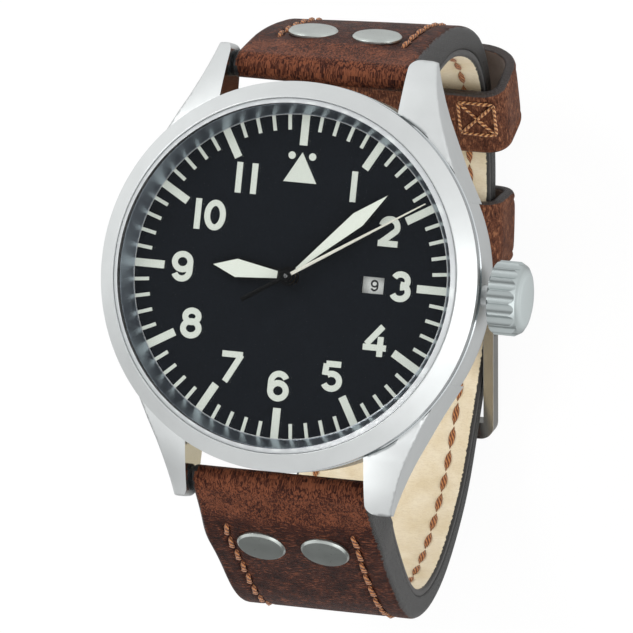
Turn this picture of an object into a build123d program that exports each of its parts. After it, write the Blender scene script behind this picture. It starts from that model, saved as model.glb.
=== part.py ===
from build123d import *
import math
import os

# A pilot watch on a buckled strap. The origin is the centre of the case back's
# flat outer face, +Z goes up through the dial, +Y to 12 o'clock, +X to the crown.

# Shared clearances
running_gap = 0.05       # a shaft in its hole, on the radius
seat_gap = 0.05          # between faces that sit on each other
free_gap = 0.15          # between parts that turn past each other
overrun = 1.0            # how far a cutter runs past a face

# Case, bezel and crystal
bezel_radius = 21.0
bezel_edge_height = 1.84     # straight polished side under the sloped face
bezel_face_width = 1.9       # sloped face, seen from above
bezel_face_rise = 1.86
bezel_bore_wall = 0.15       # step between the crystal bore and the flange bore
case_inset = 0.25            # the middle case is this much smaller than the bezel
case_wall = 3.55
case_top = 7.45
case_chamfer = 1.5
case_low = 0.55
movement_seat_low = 2.7      # shoulder above the case back's thread
thread_step = 0.5
crystal_thickness = 1.0
crystal_bevel = 0.5
crystal_proud = 0.2
crystal_fit = 0.05
gasket_height = 0.25
gasket_width = 0.55
lug_gap = 20.0
lug_end = 2.1                # from the spring bar's centre to the lug's tip
lug_tip_round_share = 0.49   # of the tip's width, at both its corners
lug_nose_round = 1.6
bar_step = 1.5               # from the bezel's edge to the spring bar's centre
bar_height = 3.3

# Dial and flange ring
dial_top = 8.1
dial_thickness = 0.4
dial_hole_radius = 0.95
flange_wall = 0.45
flange_run = 0.95            # how far the flange ring leans in from its top edge
window_inner = 8.0
window_outer = 10.45
window_up = 0.82
window_down = 0.95
mark_thickness = 0.08
mark_inset = 0.05            # from the flange ring's foot to the marks
hour_mark_length = 3.3
hour_mark_width = 0.86
minute_mark_length = 1.65
minute_mark_width = 0.38
triangle_tip = 13.4
triangle_height = 3.25
triangle_width = 3.7
dot_radius = 0.4
dot_out = 13.0
dot_side = 1.15

# Case back
back_thickness = 1.0
back_flange_step = 0.35      # flat rim of the middle case left round the case back
back_flange_height = 0.45
back_thread_gap = 0.05
back_wall = 0.75
back_wall_top = 2.3
back_notch_count = 6
back_notch_width = 3.0
back_notch_depth = 0.9
back_gasket_height = 0.3

# Hands
hand_thickness = 0.15
hand_step = 0.45             # from one hand up to the next
hour_hand_height = 8.75
hour_hand_length = 8.8
hour_hand_width = 2.3
hour_hand_wide_at = 5.9
hour_hand_root = 1.1
minute_hand_length = 14.3
minute_hand_width = 2.0
minute_hand_wide_at = 9.9
minute_hand_root = 0.6
hand_rim = 0.16
hand_insert_start = 1.25
hour_hub_radius = 1.05
minute_hub_radius = 0.85
seconds_hub_radius = 0.55
seconds_hub_height = 0.22
seconds_hand_length = 17.2
seconds_tail_length = 5.6
seconds_hand_width = 0.28
seconds_tail_width = 0.34
hour_hand_angle = 273.7
minute_hand_angle = 46.8
seconds_hand_angle = 58.0

# Movement plates
plate_radius = 13.55
plate_low = 5.65
plate_top = 7.15
plate_recess_radius = 5.4
plate_recess_floor = 6.55
bridge_low = 2.7
bridge_thickness = 0.7
bridge_foot_radius = 1.1
bridge_split = 0.3
holder_gap = 0.1
holder_low = 3.2
holder_top = 7.6
pivot_radius = 0.15
arbor_radius = 0.2
wheel_thickness = 0.16
pinion_height = 0.46

# Date ring
date_ring_outer = 10.8
date_ring_inner = 7.55
date_ring_low = 7.25
date_ring_thickness = 0.2
date_tooth_depth = 0.6
date_teeth = 31

# Going train: tooth counts, sizes of the teeth and heights
centre_teeth = 48
third_pinion_teeth = 6
third_teeth = 45
seconds_pinion_teeth = 6
seconds_teeth = 72
escape_pinion_teeth = 6
escape_teeth = 20
barrel_teeth = 56
centre_pinion_teeth = 14
third_out = 3.65
third_angle = 240.0
escape_out = 3.6
escape_angle = 350.0
escape_radius = 1.85
barrel_out = 7.4
barrel_angle = 110.0
centre_level = 5.2
barrel_level = 4.87
third_level = 4.4
seconds_level = 3.85
staff_radius = 0.12
centre_tube_radius = 0.28

# Motion work under the dial
cannon_teeth = 8
minute_wheel_teeth = 24
minute_pinion_teeth = 6
hour_teeth = 24
motion_out = 2.72
motion_angle = 30.0
cannon_level = 6.62
hour_level = 6.92
cannon_radius = 0.5
hour_tube_radius = 0.8
motion_wheel_thickness = 0.18

# Barrel
drum_radius = 3.85
drum_low = 3.6
drum_wall = 0.3
barrel_arbor_radius = 0.55
spring_turns = 5
spring_strip = 0.16
ratchet_low = 2.38
ratchet_thickness = 0.22
ratchet_radius = 3.5
ratchet_teeth = 36
ratchet_tooth = 0.25

# Balance and pallet fork
balance_x = 7.1
balance_y = -5.6
balance_radius = 3.5
balance_rim = 0.5
balance_low = 3.75
balance_height = 0.32
balance_arm = 0.5
balance_roller_radius = 0.5
hairspring_turns = 6
hairspring_inner = 0.5
hairspring_outer = 2.2
hairspring_strip = 0.09
hairspring_low = 3.47
hairspring_height = 0.16
fork_out = 2.15
fork_angle = 310.0
fork_length = 3.2
fork_width = 0.3
pallet_angle = 38.0
pallet_length = 0.6
pallet_width = 0.24

# Winding
stem_height = 5.6
stem_radius = 0.42
stem_square = 0.6
stem_inner_end = 8.0
clutch_start = 8.3
clutch_length = 1.7
clutch_radius = 1.0
clutch_grooves = 10
tube_radius = 1.2
tube_depth = 3.35            # how far the crown tube reaches into the case
tube_cover = 0.75            # and into the crown
crown_gap = 1.35             # from the case's side to the crown
crown_length = 2.8
crown_dome = 0.8
crown_radius = 4.0
crown_face_radius = 2.4
crown_flutes = 18
flute_radius = 0.95
flute_land = 0.04            # flat left at the top of each ridge
crown_bevel = 0.3
crown_recess_depth = 2.2
crown_pull = 1.2

# Rotor
rotor_radius = 12.9
rotor_rim = 2.3
rotor_plate_low = 1.6
rotor_plate_thickness = 0.3
rotor_rim_low = 1.25
rotor_rim_height = 0.95
rotor_hub_radius = 2.4
bearing_radius = 1.1
bearing_low = 1.35

# Strap: each half's middle line from its bar outwards, as shares of the bar's distance
# from the middle and of the drop, read off the photograph, with the thickness there
strap_drop = 40.0            # from the spring bars down to the buckle's bar
strap_side_gap = 0.15
strap_width_low = 19.2       # width at the height of the buckle
lining_thickness = 0.8
lining_start = 8.5           # the lining starts this far below the spring bars
bar_eye_radius = 0.85
fold_gap = 0.15              # between the strap's fold and the case
short_route_shares = [
    (1.000, 0.000), (1.084, 0.182), (1.156, 0.307), (1.198, 0.408), (1.213, 0.520),
    (1.196, 0.633), (1.129, 0.730), (1.000, 0.812), (0.738, 0.912), (0.502, 0.967),
    (0.222, 0.995), (0.022, 1.000), (-0.133, 1.000),
]
short_thickness = [3.0, 4.5, 4.0, 3.5, 3.3, 3.2, 3.1, 3.0, 2.9, 2.8, 2.6, 2.5, 2.5]
long_route_shares = [
    (-1.000, 0.000), (-1.191, 0.195), (-1.342, 0.347), (-1.458, 0.472), (-1.507, 0.598),
    (-1.458, 0.725), (-1.324, 0.838), (-1.138, 0.925), (-0.889, 1.000), (-0.636, 1.036),
    (-0.400, 1.064), (-0.133, 1.081), (0.111, 1.077), (0.244, 1.069), (0.373, 1.057),
]
long_thickness = [3.0, 4.7, 4.3, 3.8, 3.3, 3.1, 3.0, 2.9, 2.8, 2.6, 2.5, 2.5, 2.5, 2.4, 2.4]

# Rivets
rivet_radius = 2.7
rivet_head = 0.5
rivet_head_bevel = 0.2
rivet_spacing = 7.2
rivet_post_radius = 0.9
rivet_washer_radius = 1.7
rivet_washer = 0.3

# Spring bars
bar_tube_radius = 0.75
bar_shoulder = 0.7           # from the tube's end to the lug
bar_bore_radius = 0.5
bar_bore_depth = 3.0
bar_pin_hidden = 1.7
bar_pin_reach = 1.0          # how far a pin stands in the lug
bar_hole_depth = 1.2
bar_push = 0.9

# Keepers
keeper_thickness = 1.1
keeper_length = 8.0
keeper_side_gap = 0.35
keeper_gap = 0.45
keeper_corner = 2.4
free_keeper_corner = 4.2      # rounder where the free keeper stands off the strap
free_keeper_shares = (0.942, 0.830)
free_keeper_room = 3.3
fixed_keeper_shares = (0.338, 0.985)

# Buckle
buckle_arm = 1.15
buckle_side_gap = 0.3
buckle_depth = 1.9
buckle_reach = 11.8
buckle_bar_radius = 0.7
buckle_far_bar = 1.9
buckle_corner = 1.6
buckle_tilt = 21.5
tongue_width = 1.9
tongue_thickness = 1.1
tongue_slot_width = 2.5
tongue_slot_offset = 0.7
tongue_slot_length = 8.9

# Sizes worked out from those above
bar_out = bezel_radius + bar_step
lug_tip = bar_out + lug_end
bar_tube_half = lug_gap / 2 - bar_shoulder
bar_pin_inner = bar_tube_half - bar_pin_hidden
bar_pin_outer = lug_gap / 2 + bar_pin_reach
strap_low = bar_height - strap_drop
crystal_radius = bezel_radius - bezel_face_width - crystal_fit
crystal_top = case_top + seat_gap + bezel_edge_height + bezel_face_rise + crystal_proud
crystal_low = crystal_top - crystal_thickness
flange_top = crystal_low - gasket_height - seat_gap * 2
bore_radius = bezel_radius - bezel_face_width
flange_radius = bore_radius - bezel_bore_wall - seat_gap
flange_top_radius = flange_radius - flange_wall
dial_edge_radius = flange_top_radius - flange_run
mark_outer = dial_edge_radius - mark_inset
case_radius = bezel_radius - case_inset
tube_start = case_radius - tube_depth
crown_start = case_radius + crown_gap
tube_end = crown_start + tube_cover
crown_end = crown_start + crown_length
crown_dome_end = crown_end + crown_dome
back_flange_radius = case_radius - case_chamfer - back_flange_step
seat_radius = case_radius - case_wall
thread_radius = seat_radius + thread_step
stem_wall = plate_radius + holder_gap
bridge_top = bridge_low + bridge_thickness
short_route = [(bar_out * y, bar_height - strap_drop * z) for y, z in short_route_shares]
long_route = [(bar_out * y, bar_height - strap_drop * z) for y, z in long_route_shares]


def ring(outer, inner, low, high):
    face = Circle(outer) - Circle(inner) if inner else Circle(outer)
    return extrude(Plane.XY.offset(low) * face, high - low)


def disc(x, y, radius, low, high):
    return extrude(Plane((x, y, low)) * Circle(radius), high - low)


def turned(points):
    return revolve(make_face(Plane.XZ * Polyline(*points, close=True)), Axis.Z)


def block(x0, x1, y0, y1, z0, z1):
    return Pos((x0 + x1) / 2, (y0 + y1) / 2, (z0 + z1) / 2) * Box(x1 - x0, y1 - y0, z1 - z0)


def along_x(y, z, radius, x0, x1):
    return extrude(Plane((x0, y, z), x_dir=(0, 1, 0), z_dir=(1, 0, 0)) * Circle(radius), x1 - x0)


def polar(out, degrees):
    return out * math.cos(math.radians(degrees)), out * math.sin(math.radians(degrees))


# A gear's face: each tooth has a flat tip, and the gaps come to a point at the root
tip_share = 0.30
root_share = 0.9
tip_height_share = 0.85
root_depth_share = 1.15


def gear_face(teeth, pitch_radius, tooth_at):
    module = 2 * pitch_radius / teeth
    tip = pitch_radius + module * tip_height_share
    root = pitch_radius - module * root_depth_share
    pitch = 360 / teeth
    points = []
    for tooth in range(teeth):
        middle = tooth_at + tooth * pitch
        points.append(polar(tip, middle - pitch * tip_share / 2))
        points.append(polar(tip, middle + pitch * tip_share / 2))
        points.append(polar(root, middle + pitch / 2))
    return make_face(Polyline(*points, close=True))


def gear(x, y, teeth, pitch_radius, tooth_at, low, thickness):
    return extrude(Plane((x, y, low)) * gear_face(teeth, pitch_radius, tooth_at), thickness)


# Pitch radii of a pair from their centre distance and tooth counts
def pair(distance, teeth_a, teeth_b):
    module = 2 * distance / (teeth_a + teeth_b)
    return module * teeth_a / 2, module * teeth_b / 2


third_x, third_y = polar(third_out, third_angle)
escape_x, escape_y = polar(escape_out, escape_angle)
barrel_x, barrel_y = polar(barrel_out, barrel_angle)
motion_x, motion_y = polar(motion_out, motion_angle)
fork_x = escape_x + polar(fork_out, fork_angle)[0]
fork_y = escape_y + polar(fork_out, fork_angle)[1]
centre_pitch, third_pinion_pitch = pair(third_out, centre_teeth, third_pinion_teeth)
third_pitch, seconds_pinion_pitch = pair(third_out, third_teeth, seconds_pinion_teeth)
seconds_pitch, escape_pinion_pitch = pair(escape_out, seconds_teeth, escape_pinion_teeth)
barrel_pitch, centre_pinion_pitch = pair(barrel_out, barrel_teeth, centre_pinion_teeth)
cannon_pitch, minute_wheel_pitch = pair(motion_out, cannon_teeth, minute_wheel_teeth)
minute_pinion_pitch, hour_pitch = pair(motion_out, minute_pinion_teeth, hour_teeth)


# Lugs: stations along a lug as shares of its tip's distance, with the ridge's place
# between the lug gap and the case's radius, and the heights as shares of the case's top
lug_station_shares = [0.400, 0.496, 0.577, 0.675, 0.756, 0.829, 0.894, 0.951, 1.000]
ridge_out_shares = [0.772, 0.651, 0.558, 0.456, 0.372, 0.309, 0.262, 0.228, 0.205]
ridge_height_shares = [1.060, 1.020, 0.975, 0.890, 0.785, 0.671, 0.557, 0.443, 0.342]
inner_height_shares = [1.396, 1.342, 1.282, 1.188, 1.101, 1.007, 0.913, 0.812, 0.705]
lug_foot_shares = [0.121, 0.128, 0.134, 0.154, 0.168, 0.188, 0.208, 0.228, 0.248]

def make_lug():
    inner = lug_gap / 2
    ridges = [inner + (case_radius - inner) * share for share in ridge_out_shares]
    sections = []
    rows = zip(lug_station_shares, ridges, ridge_height_shares, inner_height_shares,
               lug_foot_shares)
    for along, ridge_x, ridge_height, inner_height, foot in rows:
        outline = Polyline(
            (inner, case_top * foot), (ridge_x, case_top * foot),
            (ridge_x, case_top * ridge_height), (inner, case_top * inner_height),
            close=True,
        )
        station = Plane((0, lug_tip * along, 0), x_dir=(1, 0, 0), z_dir=(0, -1, 0))
        sections.append(make_face(station * outline))
    lug = loft(sections, ruled=True)
    plan = make_face(Polyline((inner, 0), (inner, lug_tip), (ridges[-1], lug_tip),
                              (case_radius, lug_tip * lug_station_shares[3]),
                              (case_radius, 0), close=True))
    tips = plan.vertices().sort_by(Axis.Y)[-2:]
    plan = fillet(tips, (ridges[-1] - inner) * lug_tip_round_share)
    lug &= extrude(Plane.XY * plan, case_top * 2)
    low = case_top * lug_foot_shares[0]
    side = make_face(Plane.YZ * Polyline((0, low), (lug_tip, low), (lug_tip, case_top * 2),
                                         (0, case_top * 2), close=True))
    corner = [v for v in side.vertices() if v.Y > lug_tip / 2 and v.Z < case_top]
    side = fillet(corner, lug_nose_round)
    return lug & extrude(side, case_radius, dir=(1, 0, 0))


def make_case_middle():
    body = turned([
        (thread_radius, case_low), (case_radius - case_chamfer, case_low),
        (case_radius, case_low + case_chamfer), (case_radius, case_top),
        (seat_radius, case_top), (seat_radius, movement_seat_low),
        (thread_radius, movement_seat_low),
    ])
    lug = make_lug()
    lug -= ring(case_radius - case_wall / 2, 0, 0, case_top * 2)
    lugs = [lug, lug.mirror(Plane.YZ)]
    lugs += [one.mirror(Plane.XZ) for one in lugs]
    for one in lugs:
        body += one
    body -= ring(bezel_radius + seat_gap, seat_radius, case_top, case_top * 2)
    fold = short_thickness[0] / 2 + fold_gap
    for side in (-1, 1):
        hole = along_x(side * bar_out, bar_height, bar_bore_radius,
                       -lug_gap / 2 - bar_hole_depth, lug_gap / 2 + bar_hole_depth)
        room = along_x(side * bar_out, bar_height, fold, -lug_gap / 2, lug_gap / 2)
        body -= hole
        body -= room
    body -= along_x(0, stem_height, tube_radius, seat_radius - overrun, case_radius + overrun)
    return body


def make_bezel():
    low = case_top + seat_gap
    edge = low + bezel_edge_height
    top = edge + bezel_face_rise
    step = flange_top + seat_gap
    lower_bore = bore_radius - bezel_bore_wall
    return turned([
        (lower_bore, low), (bezel_radius, low), (bezel_radius, edge), (bore_radius, top),
        (bore_radius, step), (lower_bore, step),
    ])


def make_crystal():
    return turned([
        (0, crystal_low), (crystal_radius, crystal_low),
        (crystal_radius, crystal_top - crystal_bevel),
        (crystal_radius - crystal_bevel, crystal_top), (0, crystal_top),
    ])


def make_crystal_gasket():
    low = flange_top + seat_gap
    return ring(crystal_radius, crystal_radius - gasket_width, low, low + gasket_height)


def make_flange_ring():
    low = dial_top + seat_gap / 2
    return turned([
        (dial_edge_radius, low), (flange_radius, low), (flange_radius, flange_top),
        (flange_top_radius, flange_top),
    ])


def make_dial():
    low = dial_top - dial_thickness
    dial = ring(flange_radius - seat_gap, dial_hole_radius, low, dial_top)
    return dial - block(window_inner, window_outer, -window_down, window_up,
                        low - overrun, dial_top + overrun)


def make_minute_track():
    marks = []
    for minute in range(60):
        on_hour = minute % 5 == 0
        length = hour_mark_length if on_hour else minute_mark_length
        width = hour_mark_width if on_hour else minute_mark_width
        mark = block(mark_outer - length, mark_outer, -width / 2, width / 2,
                     dial_top, dial_top + mark_thickness)
        marks.append(Rot(0, 0, 90 - minute * 6) * mark)
    tip = Polyline((0, triangle_tip), (triangle_width / 2, triangle_tip - triangle_height),
                   (-triangle_width / 2, triangle_tip - triangle_height), close=True)
    marks.append(extrude(Plane.XY.offset(dial_top) * make_face(tip), mark_thickness))
    for side in (-1, 1):
        marks.append(disc(side * dot_side, dot_out, dot_radius, dial_top,
                          dial_top + mark_thickness))
    return Compound(children=[m for mark in marks for m in mark.solids()])


def make_case_back():
    outer = thread_radius - back_thread_gap
    back = turned([
        (0, 0), (back_flange_radius, 0), (back_flange_radius, back_flange_height),
        (outer, back_flange_height), (outer, back_wall_top),
        (outer - back_wall, back_wall_top), (outer - back_wall, back_thickness),
        (0, back_thickness),
    ])
    for notch in range(back_notch_count):
        cutter = block(back_flange_radius - back_notch_depth, back_flange_radius + overrun,
                       -back_notch_width / 2, back_notch_width / 2,
                       -overrun, back_flange_height + overrun)
        cutter &= ring(back_flange_radius + overrun, outer, -overrun, back_flange_height)
        back -= Rot(0, 0, notch * 360 / back_notch_count) * cutter
    return back


def make_back_gasket():
    outer = thread_radius - back_thread_gap
    low = back_wall_top + seat_gap
    return ring(outer, seat_radius + seat_gap, low, low + back_gasket_height)


def make_holder():
    body = ring(seat_radius - holder_gap, stem_wall, holder_low, holder_top)
    return body - along_x(0, stem_height, tube_radius, 0, seat_radius + overrun)


def bearing_holes(low, high):
    spots = [(third_x, third_y), (escape_x, escape_y), (fork_x, fork_y),
             (balance_x, balance_y)]
    return [disc(x, y, pivot_radius + running_gap, low, high) for x, y in spots]


def make_mainplate():
    plate = ring(plate_radius, centre_tube_radius + running_gap, plate_low, plate_top)
    plate -= ring(plate_recess_radius, centre_tube_radius + running_gap,
                  plate_recess_floor, plate_top + overrun)
    plate -= ring(date_ring_outer + free_gap, date_ring_inner - date_tooth_depth - free_gap,
                  date_ring_low - free_gap, plate_top + overrun)
    plate += block(clutch_start + clutch_length + free_gap, plate_radius - overrun,
                   -clutch_radius * 2, clutch_radius * 2, stem_height - clutch_radius, plate_low)
    plate -= along_x(0, stem_height, stem_radius + running_gap, 0, plate_radius + overrun)
    pocket = clutch_radius + free_gap
    plate -= block(stem_inner_end - free_gap, clutch_start + clutch_length + free_gap,
                   -pocket, pocket, stem_height - pocket, stem_height + pocket)
    plate += disc(motion_x, motion_y, arbor_radius, plate_recess_floor,
                  hour_level + wheel_thickness * 2)
    plate -= disc(barrel_x, barrel_y, barrel_arbor_radius / 2 + running_gap,
                  plate_low - overrun, plate_low + bridge_thickness)
    for hole in bearing_holes(plate_low - overrun, plate_low + bridge_thickness):
        plate -= hole
    return plate


# Bridges under the train: feet stand on the mainplate
barrel_bridge_feet = [(7.5, 6.6), (-10.9, 3.2)]
train_bridge_feet = [(-8.9, -4.4), (6.3, 0.4)]
cock_foot = (2.0, -9.7)
bridge_line = 1.7            # y of the joint between the barrel and train bridges


def with_feet(bridge, feet):
    for x, y in feet:
        bridge += disc(x, y, bridge_foot_radius, bridge_low, plate_low - seat_gap)
    return bridge


def make_barrel_bridge():
    bridge = disc(0, 0, plate_radius, bridge_low, bridge_top)
    bridge -= block(-plate_radius * 2, plate_radius * 2, -plate_radius * 2, bridge_line + bridge_split,
                    bridge_low - overrun, bridge_top + overrun)
    bridge = with_feet(bridge, barrel_bridge_feet)
    return bridge - disc(barrel_x, barrel_y, barrel_arbor_radius + running_gap,
                         bridge_low - overrun, bridge_top + overrun)


def cock_plan(margin):
    balance = Vector(balance_x, balance_y)
    foot = Vector(*cock_foot)
    middle = (balance + foot) * 0.5
    length = (foot - balance).length
    angle = math.degrees(math.atan2(foot.Y - balance.Y, foot.X - balance.X))
    half = bridge_foot_radius * 1.4 + margin
    bar = Pos(middle.X, middle.Y) * Rot(0, 0, angle) * SlotCenterToCenter(length, 2 * half)
    return bar


def make_train_bridge():
    bridge = disc(0, 0, plate_radius, bridge_low, bridge_top)
    top = bridge_line
    bridge -= block(-plate_radius * 2, plate_radius * 2, top, plate_radius * 2,
                    bridge_low - overrun, bridge_top + overrun)
    bridge -= disc(balance_x, balance_y, balance_radius + bridge_split,
                   bridge_low - overrun, bridge_top + overrun)
    bridge -= extrude(Plane.XY.offset(bridge_low - overrun) * cock_plan(bridge_split),
                      bridge_thickness + overrun * 2)
    solids = bridge.solids().sort_by(SortBy.VOLUME)
    bridge = solids[-1]
    bridge = with_feet(bridge, train_bridge_feet)
    for hole in bearing_holes(bridge_low - overrun, bridge_top + overrun):
        bridge -= hole
    return bridge - disc(0, 0, staff_radius + running_gap, bridge_low - overrun,
                         bridge_top + overrun)


def make_balance_cock():
    cock = extrude(Plane.XY.offset(bridge_low) * cock_plan(0), bridge_thickness)
    cock = with_feet(cock, [cock_foot])
    return cock - disc(balance_x, balance_y, pivot_radius + running_gap,
                       bridge_low - overrun, bridge_top + overrun)


def arbor(x, y, radius):
    body = disc(x, y, radius, bridge_top + free_gap, plate_low - free_gap)
    body += disc(x, y, pivot_radius, bridge_low + seat_gap, bridge_top + free_gap)
    return body + disc(x, y, pivot_radius, plate_low - free_gap,
                       plate_low + bridge_thickness - seat_gap)


def make_third_wheel():
    wheel = gear(third_x, third_y, third_teeth, third_pitch, third_angle + 180,
                 third_level, wheel_thickness)
    wheel += gear(third_x, third_y, third_pinion_teeth, third_pinion_pitch,
                  third_angle + 180 + 180 / third_pinion_teeth,
                  centre_level - free_gap, wheel_thickness + free_gap * 2)
    return wheel + arbor(third_x, third_y, arbor_radius)


def make_seconds_wheel():
    wheel = gear(0, 0, seconds_teeth, seconds_pitch, escape_angle, seconds_level,
                 wheel_thickness)
    wheel += gear(0, 0, seconds_pinion_teeth, seconds_pinion_pitch,
                  third_angle + 180 / seconds_pinion_teeth,
                  third_level - free_gap, pinion_height)
    wheel += disc(0, 0, arbor_radius, bridge_top + free_gap, seconds_level)
    wheel += disc(0, 0, arbor_radius, seconds_level, third_level)
    top = hour_hand_height + hand_step * 2 + hand_thickness
    return wheel + disc(0, 0, staff_radius, bridge_low + seat_gap, top)


def make_centre_wheel():
    wheel = gear(0, 0, centre_teeth, centre_pitch, third_angle, centre_level, wheel_thickness)
    wheel += gear(0, 0, centre_pinion_teeth, centre_pinion_pitch,
                  barrel_angle + 180 / centre_pinion_teeth,
                  barrel_level - seat_gap, centre_level - barrel_level)
    wheel += disc(0, 0, centre_tube_radius, barrel_level - seat_gap,
                  cannon_level + wheel_thickness * 3)
    return wheel - disc(0, 0, staff_radius + running_gap, barrel_level - overrun,
                        hour_level + overrun)


def make_barrel():
    great = gear(barrel_x, barrel_y, barrel_teeth, barrel_pitch, barrel_angle + 180,
                 barrel_level, wheel_thickness)
    body = great + disc(barrel_x, barrel_y, drum_radius, drum_low, barrel_level)
    body -= disc(barrel_x, barrel_y, drum_radius - drum_wall, drum_low + drum_wall,
                 barrel_level)
    return body - disc(barrel_x, barrel_y, barrel_arbor_radius + running_gap,
                       drum_low - overrun, barrel_level + overrun)


def make_barrel_arbor():
    core = disc(barrel_x, barrel_y, barrel_arbor_radius, ratchet_low, plate_low - free_gap)
    core += disc(barrel_x, barrel_y, barrel_arbor_radius / 2, plate_low - free_gap,
                 plate_low + bridge_thickness - seat_gap)
    return core


# A flat spiral strip: points out along one edge and back along the other
def spiral(x, y, inner, outer, strip, turns, low, height, steps=14):
    count = turns * steps
    edges = []
    for side in (0, 1):
        row = []
        for k in range(count + 1):
            out = inner + (outer - inner) * k / count + side * strip
            px, py = polar(out, 360 * k / steps)
            row.append((px, py))
        edges.append(row)
    outline = edges[0] + edges[1][::-1]
    return extrude(Plane((x, y, low)) * make_face(Polyline(*outline, close=True)), height)


def make_mainspring():
    low = drum_low + drum_wall + free_gap
    return spiral(barrel_x, barrel_y, barrel_arbor_radius + free_gap * 2,
                  drum_radius - drum_wall - spring_strip - free_gap, spring_strip,
                  spring_turns, low, barrel_level - free_gap - low)


def make_ratchet_wheel():
    points = []
    for tooth in range(ratchet_teeth):
        points.append(polar(ratchet_radius, tooth * 360 / ratchet_teeth))
        points.append(polar(ratchet_radius - ratchet_tooth, tooth * 360 / ratchet_teeth))
    face = make_face(Polyline(*points, close=True))
    wheel = extrude(Plane((barrel_x, barrel_y, ratchet_low)) * face, ratchet_thickness)
    return wheel - disc(barrel_x, barrel_y, barrel_arbor_radius + seat_gap / 2,
                        ratchet_low - overrun, bridge_low)


def make_escape_wheel():
    pitch = 360 / escape_teeth
    points = []
    for tooth in range(escape_teeth):
        at = fork_angle + pitch / 2 + tooth * pitch
        points.append(polar(escape_radius, at))
        points.append(polar(escape_radius - arbor_radius, at + pitch / 4))
        points.append(polar(escape_radius - arbor_radius, at + pitch * 3 / 4))
    face = make_face(Polyline(*points, close=True))
    wheel = extrude(Plane((escape_x, escape_y, third_level)) * face, wheel_thickness)
    wheel += gear(escape_x, escape_y, escape_pinion_teeth, escape_pinion_pitch,
                  escape_angle + 180 + 180 / escape_pinion_teeth,
                  seconds_level - free_gap, pinion_height)
    return wheel + arbor(escape_x, escape_y, staff_radius * 1.5)


def make_pallet_fork():
    low = third_level - seat_gap
    high = third_level + wheel_thickness + seat_gap
    to_balance = math.degrees(math.atan2(balance_y - fork_y, balance_x - fork_x))
    lever = block(0, fork_length, -fork_width / 2, fork_width / 2, low, high)
    fork = Pos(fork_x, fork_y, 0) * Rot(0, 0, to_balance) * lever
    for side in (-1, 1):
        at = fork_angle + side * pallet_angle
        x, y = polar(escape_radius + free_gap, at)
        stone = block(0, pallet_length, -pallet_width / 2, pallet_width / 2, low, high)
        stone = Pos(escape_x + x, escape_y + y, 0) * Rot(0, 0, at) * stone
        end_x, end_y = polar(escape_radius + free_gap + pallet_length - pallet_width / 2, at)
        end = Vector(escape_x + end_x, escape_y + end_y)
        pivot = Vector(fork_x, fork_y)
        arm_angle = math.degrees(math.atan2(end.Y - pivot.Y, end.X - pivot.X))
        arm = block(0, (end - pivot).length, -fork_width / 2, fork_width / 2, low, high)
        fork += stone
        fork += Pos(fork_x, fork_y, 0) * Rot(0, 0, arm_angle) * arm
    return fork + arbor(fork_x, fork_y, staff_radius * 1.5)


def make_balance_wheel():
    high = balance_low + balance_height
    rim = ring(balance_radius, balance_radius - balance_rim, balance_low, high)
    for arm in range(3):
        bar = block(0, balance_radius - balance_rim / 2, -balance_arm / 2, balance_arm / 2,
                    balance_low, high)
        rim += Rot(0, 0, arm * 120 + 15) * bar
    rim = Pos(balance_x, balance_y, 0) * rim
    rim += disc(balance_x, balance_y, balance_roller_radius, third_level - seat_gap,
                third_level + wheel_thickness)
    return rim + arbor(balance_x, balance_y, staff_radius * 1.5)


def make_hairspring():
    return spiral(balance_x, balance_y, hairspring_inner, hairspring_outer,
                  hairspring_strip, hairspring_turns, hairspring_low, hairspring_height)


def make_cannon_pinion():
    pinion = gear(0, 0, cannon_teeth, cannon_pitch, motion_angle + 180 / cannon_teeth,
                  cannon_level, motion_wheel_thickness)
    top = hour_hand_height + hand_step + hand_thickness
    pinion += disc(0, 0, cannon_radius, cannon_level, top)
    pinion -= disc(0, 0, centre_tube_radius + seat_gap / 2, cannon_level - overrun,
                   hour_level + wheel_thickness * 2)
    return pinion - disc(0, 0, staff_radius + running_gap, hour_level, top + overrun)


def make_minute_wheel():
    wheel = gear(motion_x, motion_y, minute_wheel_teeth, minute_wheel_pitch,
                 motion_angle + 180, cannon_level, motion_wheel_thickness)
    wheel += gear(motion_x, motion_y, minute_pinion_teeth, minute_pinion_pitch,
                  motion_angle + 180 + 180 / minute_pinion_teeth, cannon_level,
                  hour_level + motion_wheel_thickness - cannon_level)
    return wheel - disc(motion_x, motion_y, arbor_radius + running_gap,
                        cannon_level - overrun, hour_level + overrun)


def make_hour_wheel():
    wheel = gear(0, 0, hour_teeth, hour_pitch, motion_angle, hour_level,
                 motion_wheel_thickness)
    wheel += disc(0, 0, hour_tube_radius, hour_level, hour_hand_height + hand_thickness)
    return wheel - disc(0, 0, cannon_radius + running_gap, hour_level - overrun,
                        hour_hand_height + overrun)


# A leaf-shaped hand drawn towards 12 o'clock, then turned to its angle
def hand_face(length, width, wide_at, root, start, rim):
    slope = 1 + width / (length - wide_at)
    return make_face(Polyline(
        (-root / 2 + rim, start), (-width / 2 + rim, wide_at), (0, length - rim * slope),
        (width / 2 - rim, wide_at), (root / 2 - rim, start), close=True))


def make_hand(length, width, wide_at, root, hub, bore, low, angle):
    frame = hand_face(length, width, wide_at, root, 0, 0)
    hole = hand_face(length, width, wide_at, root, hand_insert_start, hand_rim)
    hand = extrude(Plane.XY.offset(low) * (frame - hole), hand_thickness)
    hand += disc(0, 0, hub, low, low + hand_thickness)
    hand -= disc(0, 0, bore, low - overrun, low + overrun)
    return Rot(0, 0, -angle) * hand


def make_insert(length, width, wide_at, root, low, angle):
    face = hand_face(length, width, wide_at, root, hand_insert_start, hand_rim)
    return Rot(0, 0, -angle) * extrude(Plane.XY.offset(low) * face, hand_thickness)


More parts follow.
